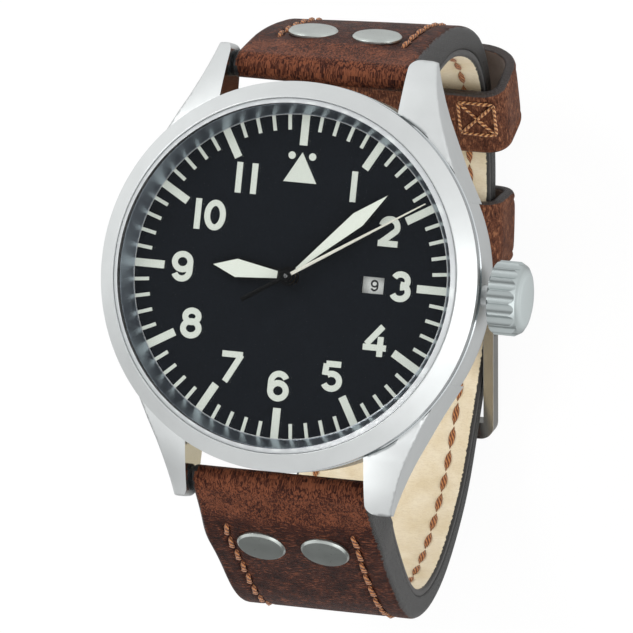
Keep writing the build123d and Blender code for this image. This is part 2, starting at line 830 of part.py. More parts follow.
hour_hand_sizes = (hour_hand_length, hour_hand_width, hour_hand_wide_at, hour_hand_root)
minute_hand_sizes = (minute_hand_length, minute_hand_width, minute_hand_wide_at,
                     minute_hand_root)


def make_seconds_hand():
    low = hour_hand_height + hand_step * 2
    needle = block(-seconds_hand_width / 2, seconds_hand_width / 2, 0, seconds_hand_length,
                   low, low + hand_thickness)
    needle += block(-seconds_tail_width / 2, seconds_tail_width / 2, -seconds_tail_length, 0,
                    low, low + hand_thickness)
    needle += disc(0, 0, seconds_hub_radius, low, low + seconds_hub_height)
    needle -= disc(0, 0, staff_radius + seat_gap / 2, low - overrun, low + overrun)
    return Rot(0, 0, -seconds_hand_angle) * needle


def make_date_ring():
    high = date_ring_low + date_ring_thickness
    body = disc(0, 0, date_ring_outer, date_ring_low, high)
    points = []
    for tooth in range(date_teeth):
        at = (tooth + 0.5) * 360 / date_teeth
        points.append(polar(date_ring_inner - date_tooth_depth, at))
        points.append(polar(date_ring_inner, at + 180 / date_teeth))
    hole = make_face(Polyline(*points, close=True))
    return body - extrude(Plane.XY.offset(date_ring_low - overrun) * hole, overrun * 3)


def make_rotor_bearing():
    return disc(0, 0, bearing_radius, bearing_low, bridge_low - seat_gap)


def make_rotor_plate():
    inner = bearing_radius + running_gap
    plate = ring(rotor_radius - rotor_rim / 2, inner, rotor_plate_low,
                 rotor_plate_low + rotor_plate_thickness)
    keep = block(-rotor_radius, rotor_radius, -rotor_radius, 0, 0, bridge_low)
    keep += disc(0, 0, rotor_hub_radius, 0, bridge_low)
    return plate & keep


def make_rotor_weight():
    high = rotor_rim_low + rotor_rim_height
    rim = ring(rotor_radius, rotor_radius - rotor_rim, rotor_rim_low, high)
    rim -= block(-rotor_radius - overrun, rotor_radius + overrun, 0, rotor_radius + overrun,
                 0, bridge_low)
    return rim - ring(rotor_radius - rotor_rim / 2 + seat_gap, 0, rotor_plate_low - seat_gap,
                      rotor_plate_low + rotor_plate_thickness + seat_gap)


def make_winding_stem():
    stem = along_x(0, stem_height, stem_radius, clutch_start + clutch_length + crown_pull,
                   crown_end - crown_recess_depth / 2)
    half = stem_square / 2
    return stem + block(stem_inner_end, clutch_start + clutch_length + crown_pull, -half, half,
                        stem_height - half, stem_height + half)


def make_clutch_wheel():
    wheel = along_x(0, stem_height, clutch_radius, clutch_start, clutch_start + clutch_length)
    hole = stem_square / 2 + running_gap
    wheel -= block(0, plate_radius, -hole, hole, stem_height - hole, stem_height + hole)
    for groove in range(clutch_grooves):
        cut = block(clutch_start - overrun, clutch_start + clutch_length / 3,
                    -free_gap, free_gap, clutch_radius - free_gap, clutch_radius + overrun)
        cut = Pos(0, 0, stem_height) * Rot(groove * 360 / clutch_grooves, 0, 0) * cut
        wheel -= cut
    return wheel


def make_crown_tube():
    tube = along_x(0, stem_height, tube_radius - seat_gap / 2, tube_start, tube_end)
    return tube - along_x(0, stem_height, stem_radius + free_gap * 2, tube_start - overrun,
                          tube_end + overrun)


def make_crown_gasket():
    outer = stem_radius + free_gap * 2 - running_gap
    middle = (tube_start + tube_end) / 2
    seal = along_x(0, stem_height, outer, middle - free_gap, middle + free_gap)
    return seal - along_x(0, stem_height, stem_radius + seat_gap / 2, tube_start, tube_end)


def make_crown():
    dome = (crown_radius - crown_face_radius) / 2
    profile = Plane.XZ * Polyline(
        (crown_start, 0), (crown_start, crown_radius - crown_bevel),
        (crown_start + crown_bevel, crown_radius), (crown_end, crown_radius),
        (crown_dome_end - crown_bevel, crown_face_radius + dome),
        (crown_dome_end, crown_face_radius), (crown_dome_end, 0), close=True)
    crown = revolve(make_face(profile), Axis.X)
    # neighbouring flutes nearly meet: each is an arc from ridge to ridge
    half = math.pi / crown_flutes
    half_chord = crown_radius * math.sin(half) - flute_land
    out = crown_radius * math.cos(half) + math.sqrt(flute_radius ** 2 - half_chord ** 2)
    for flute in range(crown_flutes):
        y, z = polar(out, (flute + 0.5) * 360 / crown_flutes)
        crown -= along_x(y, z, flute_radius, crown_start - overrun, crown_dome_end)
    crown -= along_x(0, 0, tube_radius + free_gap, crown_start - overrun,
                     crown_start + crown_recess_depth / 2)
    crown -= along_x(0, 0, stem_radius + seat_gap / 2, crown_start,
                     crown_end - crown_recess_depth / 2)
    return Pos(0, 0, stem_height) * crown


# Strap bands. A band follows its route, and each edge is a run of arcs, each through
# three of the route's points moved square to it by the offset given there.
def route_normals(route):
    normals = []
    last = len(route) - 1
    for k in range(len(route)):
        before, after = route[max(k - 1, 0)], route[min(k + 1, last)]
        run, rise = after[0] - before[0], after[1] - before[1]
        size = math.hypot(run, rise)
        normals.append((-rise / size, run / size))
    return normals


def arc_run(plane, points):
    starts = range(0, len(points) - 2, 2)
    return [plane * ThreePointArc(points[k], points[k + 1], points[k + 2]) for k in starts]


def band(route, low_edge, high_edge, half_width):
    normals = route_normals(route)
    plane = Plane.YZ.offset(-half_width)
    rows = []
    for offsets in (low_edge, high_edge):
        rows.append([(y + ny * off, z + nz * off)
                     for (y, z), (ny, nz), off in zip(route, normals, offsets)])
    ends = [plane * Line(rows[0][k], rows[1][k]) for k in (0, -1)]
    face = make_face(arc_run(plane, rows[0]) + arc_run(plane, rows[1]) + ends)
    return extrude(face, half_width * 2, dir=(1, 0, 0))


def side_wedges():
    top = lug_gap / 2 - strap_side_gap
    low = strap_width_low / 2
    far = lug_gap
    reach = bezel_radius * 4
    slope = (top - low) / (bar_height - strap_low)
    cut_top = bar_height * 4
    cut_low = strap_low * 2
    face = make_face(Plane.XZ * Polyline(
        (top + slope * (cut_top - bar_height), cut_top), (far, cut_top), (far, cut_low),
        (top + slope * (cut_low - bar_height), cut_low), close=True))
    wedge = extrude(face, reach, both=True)
    return [wedge, wedge.mirror(Plane.YZ)]


wedges = side_wedges()


def rivet_plane(route, side):
    normal = route_normals(route)[1]
    y, z = route[1]
    return Plane((0, y, z), x_dir=(1, 0, 0), z_dir=(0, normal[0] * side, normal[1] * side))


# The lining fills a shallow step on the leather's wrist side, below its start
def strap_layers(route, thickness, side, bar_eye):
    half_width = lug_gap / 2 - strap_side_gap
    outer = [side * t / 2 for t in thickness]
    inner = [-side * t / 2 for t in thickness]
    past = [side * (-t / 2 - overrun) for t in thickness]
    step = [side * (lining_thickness - t / 2) for t in thickness]
    top = [side * (lining_thickness - seat_gap - t / 2) for t in thickness]
    start = bar_height - lining_start
    above = block(-lug_gap, lug_gap, -lug_tip * 2, lug_tip * 2, start, lug_tip)
    leather = band(route, inner, outer, half_width)
    leather -= band(route, past, step, half_width) - above
    leather += along_x(route[0][0], bar_height, thickness[0] / 2, -half_width, half_width)
    lining = band(route, inner, top, half_width)
    lining -= above + Pos(0, 0, -seat_gap) * above
    layers = []
    plane = rivet_plane(route, side)
    for layer in (leather, lining):
        for wedge in wedges:
            layer -= wedge
        layer -= along_x(*bar_eye, -lug_gap, lug_gap)
        for place in (-1, 1):
            post = Pos(place * rivet_spacing / 2, 0, -thickness[1]) * Circle(
                rivet_post_radius + running_gap)
            layer -= extrude(plane * post, thickness[1] * 2)
        layers.append(layer)
    return layers


def make_rivets(route, thickness, side):
    plane = rivet_plane(route, side)
    head_low = thickness[1] / 2 + seat_gap * 2
    wrist = thickness[1] / 2 + seat_gap * 4
    solids = []
    for place in (-1, 1):
        x = place * rivet_spacing / 2
        head = extrude(plane * Pos(x, 0, head_low) * Circle(rivet_radius), rivet_head)
        rim = head.edges().sort_by(lambda e: plane.to_local_coords(e.center()).Z)[-1]
        head = chamfer(rim, rivet_head_bevel)
        head += extrude(plane * Pos(x, 0, -wrist - rivet_washer) * Circle(rivet_post_radius),
                        wrist + rivet_washer + head_low)
        head += extrude(plane * Pos(x, 0, -wrist - rivet_washer) * Circle(rivet_washer_radius),
                        rivet_washer)
        solids.append(head)
    return Compound(children=solids)


def make_bar_tube(side):
    y = side * bar_out
    tube = along_x(y, bar_height, bar_tube_radius, -bar_tube_half, bar_tube_half)
    for end in (-1, 1):
        low, high = sorted((end * (bar_tube_half + overrun), end * (bar_tube_half - bar_bore_depth)))
        tube -= along_x(y, bar_height, bar_bore_radius + running_gap, low, high)
    return tube


def make_bar_pin(side, end):
    low, high = sorted((end * bar_pin_inner, end * bar_pin_outer))
    return along_x(side * bar_out, bar_height, bar_bore_radius - running_gap, low, high)


# Direction of a route and its outward side at the nearest point
def route_frame(route, y, z):
    best = min(range(1, len(route) - 1), key=lambda k: math.hypot(route[k][0] - y, route[k][1] - z))
    before, after = route[best - 1], route[best + 1]
    run, rise = after[0] - before[0], after[1] - before[1]
    size = math.hypot(run, rise)
    return run / size, rise / size


# A keeper's outline: corner is its radius next to the strap, and away's is the other side
def loop_outline(wide, high, away, corner, away_corner):
    outline = make_face(Polyline((-wide / 2, -high / 2), (wide / 2, -high / 2),
                                 (wide / 2, high / 2), (-wide / 2, high / 2), close=True))
    outline = fillet([v for v in outline.vertices() if v.Y * away > 0], away_corner)
    near = outline.vertices().sort_by(lambda v: v.Y * away)[:2]
    return fillet(near, corner)


def make_keeper(shares, strap, room, away_corner):
    y = bar_out * shares[0]
    z = bar_height - strap_drop * shares[1]
    run, rise = route_frame(short_route, y, z)
    inner_wide = lug_gap - strap_side_gap * 2 + keeper_side_gap * 2
    inner_high = strap + keeper_gap * 2 + room
    # local x is the watch's x, local y points away from the wrist
    plane = Plane((0, y, z), x_dir=(1, 0, 0), z_dir=(0, run, rise)).offset(-keeper_length / 2)
    shift = room / 2
    if plane.y_dir.Z > 0:
        shift = -shift
    outer = loop_outline(inner_wide + keeper_thickness * 2, inner_high + keeper_thickness * 2,
                         shift, keeper_corner, away_corner)
    inner = loop_outline(inner_wide, inner_high, shift, keeper_corner - keeper_thickness,
                         away_corner - keeper_thickness)
    face = plane * Pos(0, shift) * (outer - inner)
    return extrude(face, keeper_length)


buckle_y, buckle_z = short_route[-1]
buckle_half = strap_width_low / 2 + buckle_side_gap


# The buckle's own plane: local x is the watch's x, local y runs to the far bar
def buckle_plane():
    run = -math.cos(math.radians(buckle_tilt))
    rise = -math.sin(math.radians(buckle_tilt))
    normal = Vector(1, 0, 0).cross(Vector(0, run, rise))
    return Plane((0, buckle_y, buckle_z), x_dir=(1, 0, 0), z_dir=normal)


def make_buckle_frame():
    plane = buckle_plane()
    outer_half = buckle_half + buckle_arm
    near = -buckle_bar_radius * 2
    far = buckle_reach + buckle_far_bar / 2
    outer = make_face(Polyline((-outer_half, near), (outer_half, near), (outer_half, far),
                               (-outer_half, far), close=True))
    outer = fillet([v for v in outer.vertices() if v.Y > 0], buckle_corner)
    window = make_face(Polyline((-buckle_half, near - overrun), (buckle_half, near - overrun),
                                (buckle_half, far - buckle_far_bar),
                                (-buckle_half, far - buckle_far_bar), close=True))
    frame = extrude(plane * (outer - window), buckle_depth / 2, both=True)
    return frame - along_x(buckle_y, buckle_z, buckle_bar_radius + running_gap,
                           -outer_half - overrun, outer_half + overrun)


def make_buckle_bar():
    reach = buckle_half + buckle_arm
    return along_x(buckle_y, buckle_z, buckle_bar_radius, -reach, reach)


def make_buckle_tongue():
    plane = buckle_plane()
    outside = 1 if plane.z_dir.Z < 0 else -1
    lift = outside * (buckle_depth / 2 + tongue_thickness / 2 + seat_gap * 2)
    eye = buckle_bar_radius + running_gap
    half = tongue_width / 2
    sleeve = along_x(buckle_y, buckle_z, eye + tongue_thickness / 2, -half, half)
    far = buckle_reach + buckle_far_bar / 2
    flat = far - buckle_far_bar * 1.5
    middle = [(0, 0), (buckle_reach / 3, lift / 2), (flat, lift), (far, lift)]
    # the tongue is a bent strip, drawn in the plane that cuts the buckle in half
    side = Plane((0, buckle_y, buckle_z), x_dir=plane.y_dir, z_dir=plane.x_dir)
    flip = 1 if side.y_dir.dot(plane.z_dir) > 0 else -1
    skin = tongue_thickness / 2
    outline = [(a, b * flip - skin) for a, b in middle]
    outline += [(a, b * flip + skin) for a, b in middle[::-1]]
    strip = extrude(make_face(side * Polyline(*outline, close=True)), half, both=True)
    tongue = sleeve + strip
    return tongue - along_x(buckle_y, buckle_z, eye, -buckle_half, buckle_half)


def make_straps():
    near_eye = (bar_out, bar_height, bar_eye_radius)
    far_eye = (-bar_out, bar_height, bar_eye_radius)
    buckle_eye = (buckle_y, buckle_z, buckle_bar_radius + running_gap)
    short = strap_layers(short_route, short_thickness, 1, near_eye)
    long = strap_layers(long_route, long_thickness, -1, far_eye)
    fold = along_x(buckle_y, buckle_z, short_thickness[-1] / 2, -strap_width_low / 2,
                   strap_width_low / 2)
    short[0] += fold
    short[1] -= along_x(buckle_y, buckle_z, short_thickness[-1] / 2 + seat_gap, -lug_gap, lug_gap)
    hole = along_x(*buckle_eye, -lug_gap, lug_gap)
    slot_half = tongue_slot_width / 2
    eye_cut = block(-slot_half, slot_half, buckle_y - short_thickness[-1],
                    buckle_y + short_thickness[-1], buckle_z - short_thickness[-1],
                    buckle_z + short_thickness[-1])
    short = [layer - hole - eye_cut for layer in short]
    slot_start = buckle_y - tongue_slot_offset
    slot = block(-slot_half, slot_half, slot_start - tongue_slot_length, slot_start,
                 buckle_z * 2, buckle_z)
    long = [layer - slot for layer in long]
    return short + long


os.makedirs("parts", exist_ok=True)


def write(name, shape):
    solids = shape.solids()
    export_step(solids[0] if len(solids) == 1 else Compound(children=list(solids)),
                f"parts/{name}.step")


short_leather, short_lining, long_leather, long_lining = make_straps()
pieces = {
    "case_middle": make_case_middle,
    "bezel": make_bezel,
    "crystal": make_crystal,
    "crystal_gasket": make_crystal_gasket,
    "flange_ring": make_flange_ring,
    "dial": make_dial,
    "minute_track": make_minute_track,
    "case_back": make_case_back,
    "case_back_gasket": make_back_gasket,
    "movement_holder": make_holder,
    "mainplate": make_mainplate,
    "barrel_bridge": make_barrel_bridge,
    "train_bridge": make_train_bridge,
    "balance_cock": make_balance_cock,
    "barrel_arbor": make_barrel_arbor,
    "ratchet_wheel": make_ratchet_wheel,
    "mainspring": make_mainspring,
    "mainspring_barrel": make_barrel,
    "centre_wheel": make_centre_wheel,
    "third_wheel": make_third_wheel,
    "seconds_wheel": make_seconds_wheel,
    "escape_wheel": make_escape_wheel,
    "pallet_fork": make_pallet_fork,
    "balance_wheel": make_balance_wheel,
    "hairspring": make_hairspring,
    "cannon_pinion": make_cannon_pinion,
    "minute_wheel": make_minute_wheel,
    "hour_wheel": make_hour_wheel,
    "date_ring": make_date_ring,
    "rotor_bearing": make_rotor_bearing,
    "rotor_plate": make_rotor_plate,
    "rotor_weight": make_rotor_weight,
    "winding_stem": make_winding_stem,
    "clutch_wheel": make_clutch_wheel,
    "crown_tube": make_crown_tube,
    "crown_gasket": make_crown_gasket,
    "crown": make_crown,
    "hour_hand": lambda: make_hand(*hour_hand_sizes, hour_hub_radius,
                           hour_tube_radius + seat_gap / 2, hour_hand_height,
                           hour_hand_angle),
    "hour_hand_insert": lambda: make_insert(*hour_hand_sizes, hour_hand_height, hour_hand_angle),
    "minute_hand": lambda: make_hand(*minute_hand_sizes, minute_hub_radius,
                             cannon_radius + seat_gap / 2, hour_hand_height + hand_step,
                             minute_hand_angle),
    "minute_hand_insert": lambda: make_insert(*minute_hand_sizes, hour_hand_height + hand_step,
                                      minute_hand_angle),
    "seconds_hand": make_seconds_hand,
    "short_strap_leather": lambda: short_leather,
    "short_strap_lining": lambda: short_lining,
    "long_strap_leather": lambda: long_leather,
    "long_strap_lining": lambda: long_lining,
    "short_strap_rivets": lambda: make_rivets(short_route, short_thickness, 1),
    "long_strap_rivets": lambda: make_rivets(long_route, long_thickness, -1),
    "spring_bar_12": lambda: make_bar_tube(1),
    "spring_bar_6": lambda: make_bar_tube(-1),
    "pin_12_crown_side": lambda: make_bar_pin(1, 1),
    "pin_12_far_side": lambda: make_bar_pin(1, -1),
    "pin_6_crown_side": lambda: make_bar_pin(-1, 1),
    "pin_6_far_side": lambda: make_bar_pin(-1, -1),
    "free_keeper": lambda: make_keeper(free_keeper_shares, short_thickness[7],
                                        free_keeper_room, free_keeper_corner),
    "fixed_keeper": lambda: make_keeper(fixed_keeper_shares, short_thickness[9],
                                         long_thickness[-1] + keeper_gap, keeper_corner),
    "buckle_frame": make_buckle_frame,
    "buckle_bar": make_buckle_bar,
    "buckle_tongue": make_buckle_tongue,
}
for name, make in pieces.items():
    write(name, make())
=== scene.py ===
# Pilot watch on a riveted leather strap: the looks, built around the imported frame.
import math

import bmesh
import bpy
import numpy as np
from mathutils import Matrix


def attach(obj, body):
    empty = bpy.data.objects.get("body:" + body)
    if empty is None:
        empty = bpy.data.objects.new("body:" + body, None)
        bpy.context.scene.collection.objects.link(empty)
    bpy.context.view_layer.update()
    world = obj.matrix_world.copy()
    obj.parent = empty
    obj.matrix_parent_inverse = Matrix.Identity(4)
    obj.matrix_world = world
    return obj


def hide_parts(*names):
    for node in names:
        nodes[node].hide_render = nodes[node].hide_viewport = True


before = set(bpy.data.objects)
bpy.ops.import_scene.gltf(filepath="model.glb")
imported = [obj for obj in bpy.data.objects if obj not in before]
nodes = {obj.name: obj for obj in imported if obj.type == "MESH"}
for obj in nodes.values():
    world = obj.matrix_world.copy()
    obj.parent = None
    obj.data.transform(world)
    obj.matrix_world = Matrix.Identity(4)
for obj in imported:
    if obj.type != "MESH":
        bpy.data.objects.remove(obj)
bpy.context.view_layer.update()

mm = 0.001
print("frame loaded,", len(nodes), "nodes")


def linear(hexColour, dim=1.0):  # sRGB hex to the linear colour that the shaders want
    text = hexColour.lstrip("#")
    parts = [int(text[k:k + 2], 16) / 255 for k in (0, 2, 4)]
    return [dim * (p / 12.92 if p <= 0.04045 else ((p + 0.055) / 1.055) ** 2.4)
            for p in parts] + [1]


def linkUp(tree, node, links):
    # links are socket: node or socket: (node, output)
    for name, source in links.items():
        giver, output = source if isinstance(source, tuple) else (source, 0)
        tree.links.new(giver.outputs[output], node.inputs[name])


def addNode(tree, kind, settings=None, links=None):
    # settings are properties or sockets of the node, and a ramp's stops
    node = tree.nodes.new(kind)
    for name, value in (settings or {}).items():
        if name == "stops":
            ramp = node.color_ramp
            ramp.elements[0].position, ramp.elements[0].color = value[0]
            ramp.elements[1].position, ramp.elements[1].color = value[-1]
            for place, colour in value[1:-1]:
                ramp.elements.new(place).color = colour
        elif isinstance(name, str) and hasattr(node, name):
            setattr(node, name, value)
        else:
            node.inputs[name].default_value = value
    linkUp(tree, node, links or {})
    return node


def newMaterial(name, settings, onMap=False):
    # one Principled shader with its settings, and the place that its patterns read: the
    # piece's own map or Object coordinates, both in millimetres
    material = bpy.data.materials.new(name)
    material.use_nodes = True
    tree = material.node_tree
    tree.nodes.clear()
    shader = addNode(tree, "ShaderNodeBsdfPrincipled", settings)
    addNode(tree, "ShaderNodeOutputMaterial", {}, {"Surface": shader})
    if onMap:
        return material, tree, shader, addNode(tree, "ShaderNodeUVMap", {"uv_map": "pieceMap"})
    coordinates = addNode(tree, "ShaderNodeTexCoord")
    place = addNode(tree, "ShaderNodeMapping", {"Scale": (1000, 1000, 1000)},
                    {"Vector": (coordinates, "Object")})
    return material, tree, shader, place


# Surfaces: a grid of points, pieces x rows x columns x 3 in millimetres, where quads join
# each point to the next in its row and its column. A shut direction joins its last to its
# first. Rows drawn together to a point or a line become poles when doubles are merged.
def gridMesh(name, points, rowsShut=False, columnsShut=True, flat=None, values=None, bands=None,
             sharp=35):
    if points.ndim == 3:
        points = points[None]
    count, rows, columns = points.shape[:3]
    r = np.arange(rows if rowsShut else rows - 1)
    c = np.arange(columns if columnsShut else columns - 1)
    base = (np.arange(count) * rows * columns)[:, None, None]
    down = ((r + 1) % rows)[:, None]
    across = (c + 1) % columns
    corners = np.stack([base + r[:, None] * columns + c, base + r[:, None] * columns + across,
                        base + down * columns + across, base + down * columns + c], -1)
    faces = corners.reshape(-1, 4)
    mesh = bpy.data.meshes.new(name)
    mesh.vertices.add(count * rows * columns)
    mesh.vertices.foreach_set("co", (points * mm).astype(np.float32).ravel())
    mesh.loops.add(faces.size)
    mesh.loops.foreach_set("vertex_index", faces.astype(np.int32).ravel())
    mesh.polygons.add(len(faces))
    mesh.polygons.foreach_set("loop_start", np.arange(0, faces.size, 4, dtype=np.int32))
    mesh.update(calc_edges=True)
    if flat is not None:
        # flat holds one more row or column than the points where that direction is shut
        flat = np.broadcast_to(flat, (count,) + flat.shape[-3:])
        r2, c2 = r[:, None], c
        picked = np.stack([flat[:, r2, c2], flat[:, r2, c2 + 1], flat[:, r2 + 1, c2 + 1],
                           flat[:, r2 + 1, c2]], -2)
        layer = mesh.uv_layers.new(name="pieceMap")
        layer.data.foreach_set("uv", picked.astype(np.float32).ravel())
    for title, value in (values or {}).items():
        value = np.broadcast_to(value, (count, rows, columns))
        attribute = mesh.attributes.new(title, "FLOAT", "POINT")
        attribute.data.foreach_set("value", value.astype(np.float32).ravel())
    if bands is not None:
        mesh.polygons.foreach_set("material_index", np.broadcast_to(
            bands, corners.shape[:3]).astype(np.int32).ravel())
    piece = bpy.data.objects.new(name, mesh)
    bpy.context.scene.collection.objects.link(piece)
    tidyMesh(mesh, sharp)
    return piece


def tidyMesh(mesh, sharp):
    # merges doubles, drops what they collapse, turns the faces outwards, shades smooth
    work = bmesh.new()
    work.from_mesh(mesh)
    bmesh.ops.remove_doubles(work, verts=work.verts, dist=2e-7)
    bmesh.ops.dissolve_degenerate(work, edges=work.edges, dist=1e-7)
    bmesh.ops.recalc_face_normals(work, faces=work.faces)
    work.to_mesh(mesh)
    work.free()
    mesh.shade_smooth()
    mesh.set_sharp_from_angle(angle=math.radians(sharp))


def settle(piece, body, finishes, standsFor=()):
    # the piece takes its finishes, rides on its body, and hides what it stands for
    for finish in finishes:
        piece.data.materials.append(finish)
    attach(piece, body)
    if standsFor:
        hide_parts(*standsFor)
    return piece


def joinPieces(name, parts):
    # one object from several, made with the same attributes
    with bpy.context.temp_override(active_object=parts[0], object=parts[0],
                                   selected_objects=parts, selected_editable_objects=parts):
        bpy.ops.object.join()
    parts[0].name = name
    return parts[0]


def applyModifiers(piece):
    # the finished mesh takes the place of the one with live modifiers
    whole = bpy.data.meshes.new_from_object(
        piece.evaluated_get(bpy.context.evaluated_depsgraph_get()),
        preserve_all_data_layers=True, depsgraph=bpy.context.evaluated_depsgraph_get())
    piece.modifiers.clear()
    piece.data = whole


def flatShade(piece):
    # a broad flat face keeps its own direction beside a narrow rounded edge
    change = piece.modifiers.new("flatFaces", "WEIGHTED_NORMAL")
    change.keep_sharp, change.weight = True, 100
    applyModifiers(piece)


def cutAway(piece, cutter, touching):
    # takes the cutter's closed shape out of the piece, which may touch itself
    change = piece.modifiers.new("cut", "BOOLEAN")
    change.operation, change.solver, change.object = "DIFFERENCE", "EXACT", cutter
    change.use_hole_tolerant = touching
    applyModifiers(piece)
    bpy.data.objects.remove(cutter)


def finerCopy(node, sharp, bevel=0.0):
    # the CAD node's own mesh, copied and merged so that it can be shaded smooth, with its
    # edges rounded where bevel is a width in millimetres
    mesh = nodes[node].data.copy()
    piece = bpy.data.objects.new("fine_" + node, mesh)
    bpy.context.scene.collection.objects.link(piece)
    mesh.materials.clear()
    work = bmesh.new()
    work.from_mesh(mesh)
    bmesh.ops.remove_doubles(work, verts=work.verts, dist=2e-6)
    if bevel:
        bmesh.ops.dissolve_limit(work, angle_limit=math.radians(0.5), verts=work.verts,
                                 edges=work.edges)
    work.to_mesh(mesh)
    work.free()
    mesh.shade_smooth()
    mesh.set_sharp_from_angle(angle=math.radians(sharp))
    if bevel:
        change = piece.modifiers.new("softEdges", "BEVEL")
        change.width, change.segments, change.limit_method = bevel * mm, 3, "ANGLE"
        change.angle_limit, change.harden_normals = math.radians(35), False
        applyModifiers(piece)
    return piece


def evenOut(piece, sharp, reach, rounds):
    # Long CAD facets shade in waves. They are cut to edges of about the given reach, and
    # every point not on a sharp edge moves towards the mean of its neighbours and, by a
    # little more, back again (Taubin's smoothing), which evens the waves without shrinking
    mesh = piece.data
    work = bmesh.new()
    work.from_mesh(mesh)
    bmesh.ops.triangulate(work, faces=work.faces, quad_method="BEAUTY", ngon_method="BEAUTY")
    for cut in range(5):
        long = [e for e in work.edges if e.calc_length() > reach * 1.4 * mm]
        if not long:
            break
        bmesh.ops.subdivide_edges(work, edges=long, cuts=1)
        bmesh.ops.triangulate(work, faces=work.faces)
    bmesh.ops.beautify_fill(work, faces=work.faces, edges=[
        e for e in work.edges if e.is_manifold and e.calc_face_angle(0) < math.radians(8)])
    pinned = [v.index for e in work.edges if not e.is_manifold
              or e.calc_face_angle(0) > math.radians(sharp) for v in e.verts]
    work.to_mesh(mesh)
    work.free()
    edges = np.zeros(len(mesh.edges) * 2, np.int32)
    mesh.edges.foreach_get("vertices", edges)
    a, b = edges.reshape(-1, 2).T
    place = np.zeros(len(mesh.vertices) * 3, np.float32)
    mesh.vertices.foreach_get("co", place)
    place = place.reshape(-1, 3).astype(float)
    number = np.bincount(a, minlength=len(place)) + np.bincount(b, minlength=len(place))
    free = np.ones(len(place))
    free[pinned] = 0
    for share in [0.5, -0.52] * rounds:
        total = np.stack([np.bincount(a, place[b, k], len(place))
                          + np.bincount(b, place[a, k], len(place)) for k in range(3)], -1)
        place += share * (total / number[:, None] - place) * free[:, None]
    mesh.vertices.foreach_set("co", place.astype(np.float32).ravel())
    mesh.update()
    mesh.shade_smooth()
    mesh.set_sharp_from_angle(angle=math.radians(sharp))


def smoothRoute(points, count):
    # natural cubic spline through the points by the distance between them: its second
    # derivatives solve one linear system, then it is sampled at even steps of length
    p = np.array(points, float)
    gap = np.linalg.norm(np.diff(p[:, :2], axis=0), axis=1)
    t = np.concatenate([[0], np.cumsum(gap)])
    system, right = np.eye(len(p)), np.zeros_like(p)
    i = np.arange(1, len(p) - 1)
    system[i, i - 1], system[i, i], system[i, i + 1] = gap[:-1], 2 * (gap[:-1] + gap[1:]), gap[1:]
    slope = np.diff(p, axis=0) / gap[:, None]
    right[i] = 6 * np.diff(slope, axis=0)
    bend = np.linalg.solve(system, right)
    u = np.linspace(0, t[-1], 3000)
    k = np.clip(np.searchsorted(t, u, "right") - 1, 0, len(gap) - 1)
    a, b, h = (t[k + 1] - u)[:, None], (u - t[k])[:, None], gap[k][:, None]
    line = (bend[k] * a ** 3 + bend[k + 1] * b ** 3) / (6 * h) \
        + (p[k] / h - bend[k] * h / 6) * a + (p[k + 1] / h - bend[k + 1] * h / 6) * b
    run = np.concatenate([[0], np.cumsum(np.linalg.norm(np.diff(line[:, :2], axis=0), axis=1))])
    even = np.linspace(0, run[-1], count)
    return np.stack([np.interp(even, run, line[:, c]) for c in range(p.shape[1])], -1), even


def roundedLine(points, radii, steps=6):
    # a closed profile whose corners become arcs: each corner's arc touches both its sides
    p = np.array(points, float)
    before, after = np.roll(p, 1, 0) - p, np.roll(p, -1, 0) - p
    before /= np.linalg.norm(before, axis=1)[:, None]
    after /= np.linalg.norm(after, axis=1)[:, None]
    half = np.arccos(np.clip((before * after).sum(1), -1, 1)) / 2
    radius = np.maximum(np.array(radii, float), 1e-6)
    reach = radius / np.tan(half)
    middle = before + after
    middle /= np.linalg.norm(middle, axis=1)[:, None]
    centre = p + middle * (radius / np.sin(half))[:, None]
    start, end = p + before * reach[:, None], p + after * reach[:, None]
    a = np.arctan2(*(start - centre).T[::-1])
    sweep = (np.arctan2(*(end - centre).T[::-1]) - a + np.pi) % (2 * np.pi) - np.pi
    turn = a[:, None] + sweep[:, None] * np.linspace(0, 1, steps)
    arc = centre[:, None] + radius[:, None, None] * np.stack([np.cos(turn), np.sin(turn)], -1)
    return arc.reshape(-1, 2)


def turnedGrid(profile, around):
    # a profile of (radius, height) carried round the z axis
    turn = np.linspace(0, 2 * np.pi, around, endpoint=False)
    r, z = profile[:, 0][:, None], profile[:, 1][:, None]
    return np.stack([r * np.cos(turn), r * np.sin(turn), z + 0 * turn], -1)


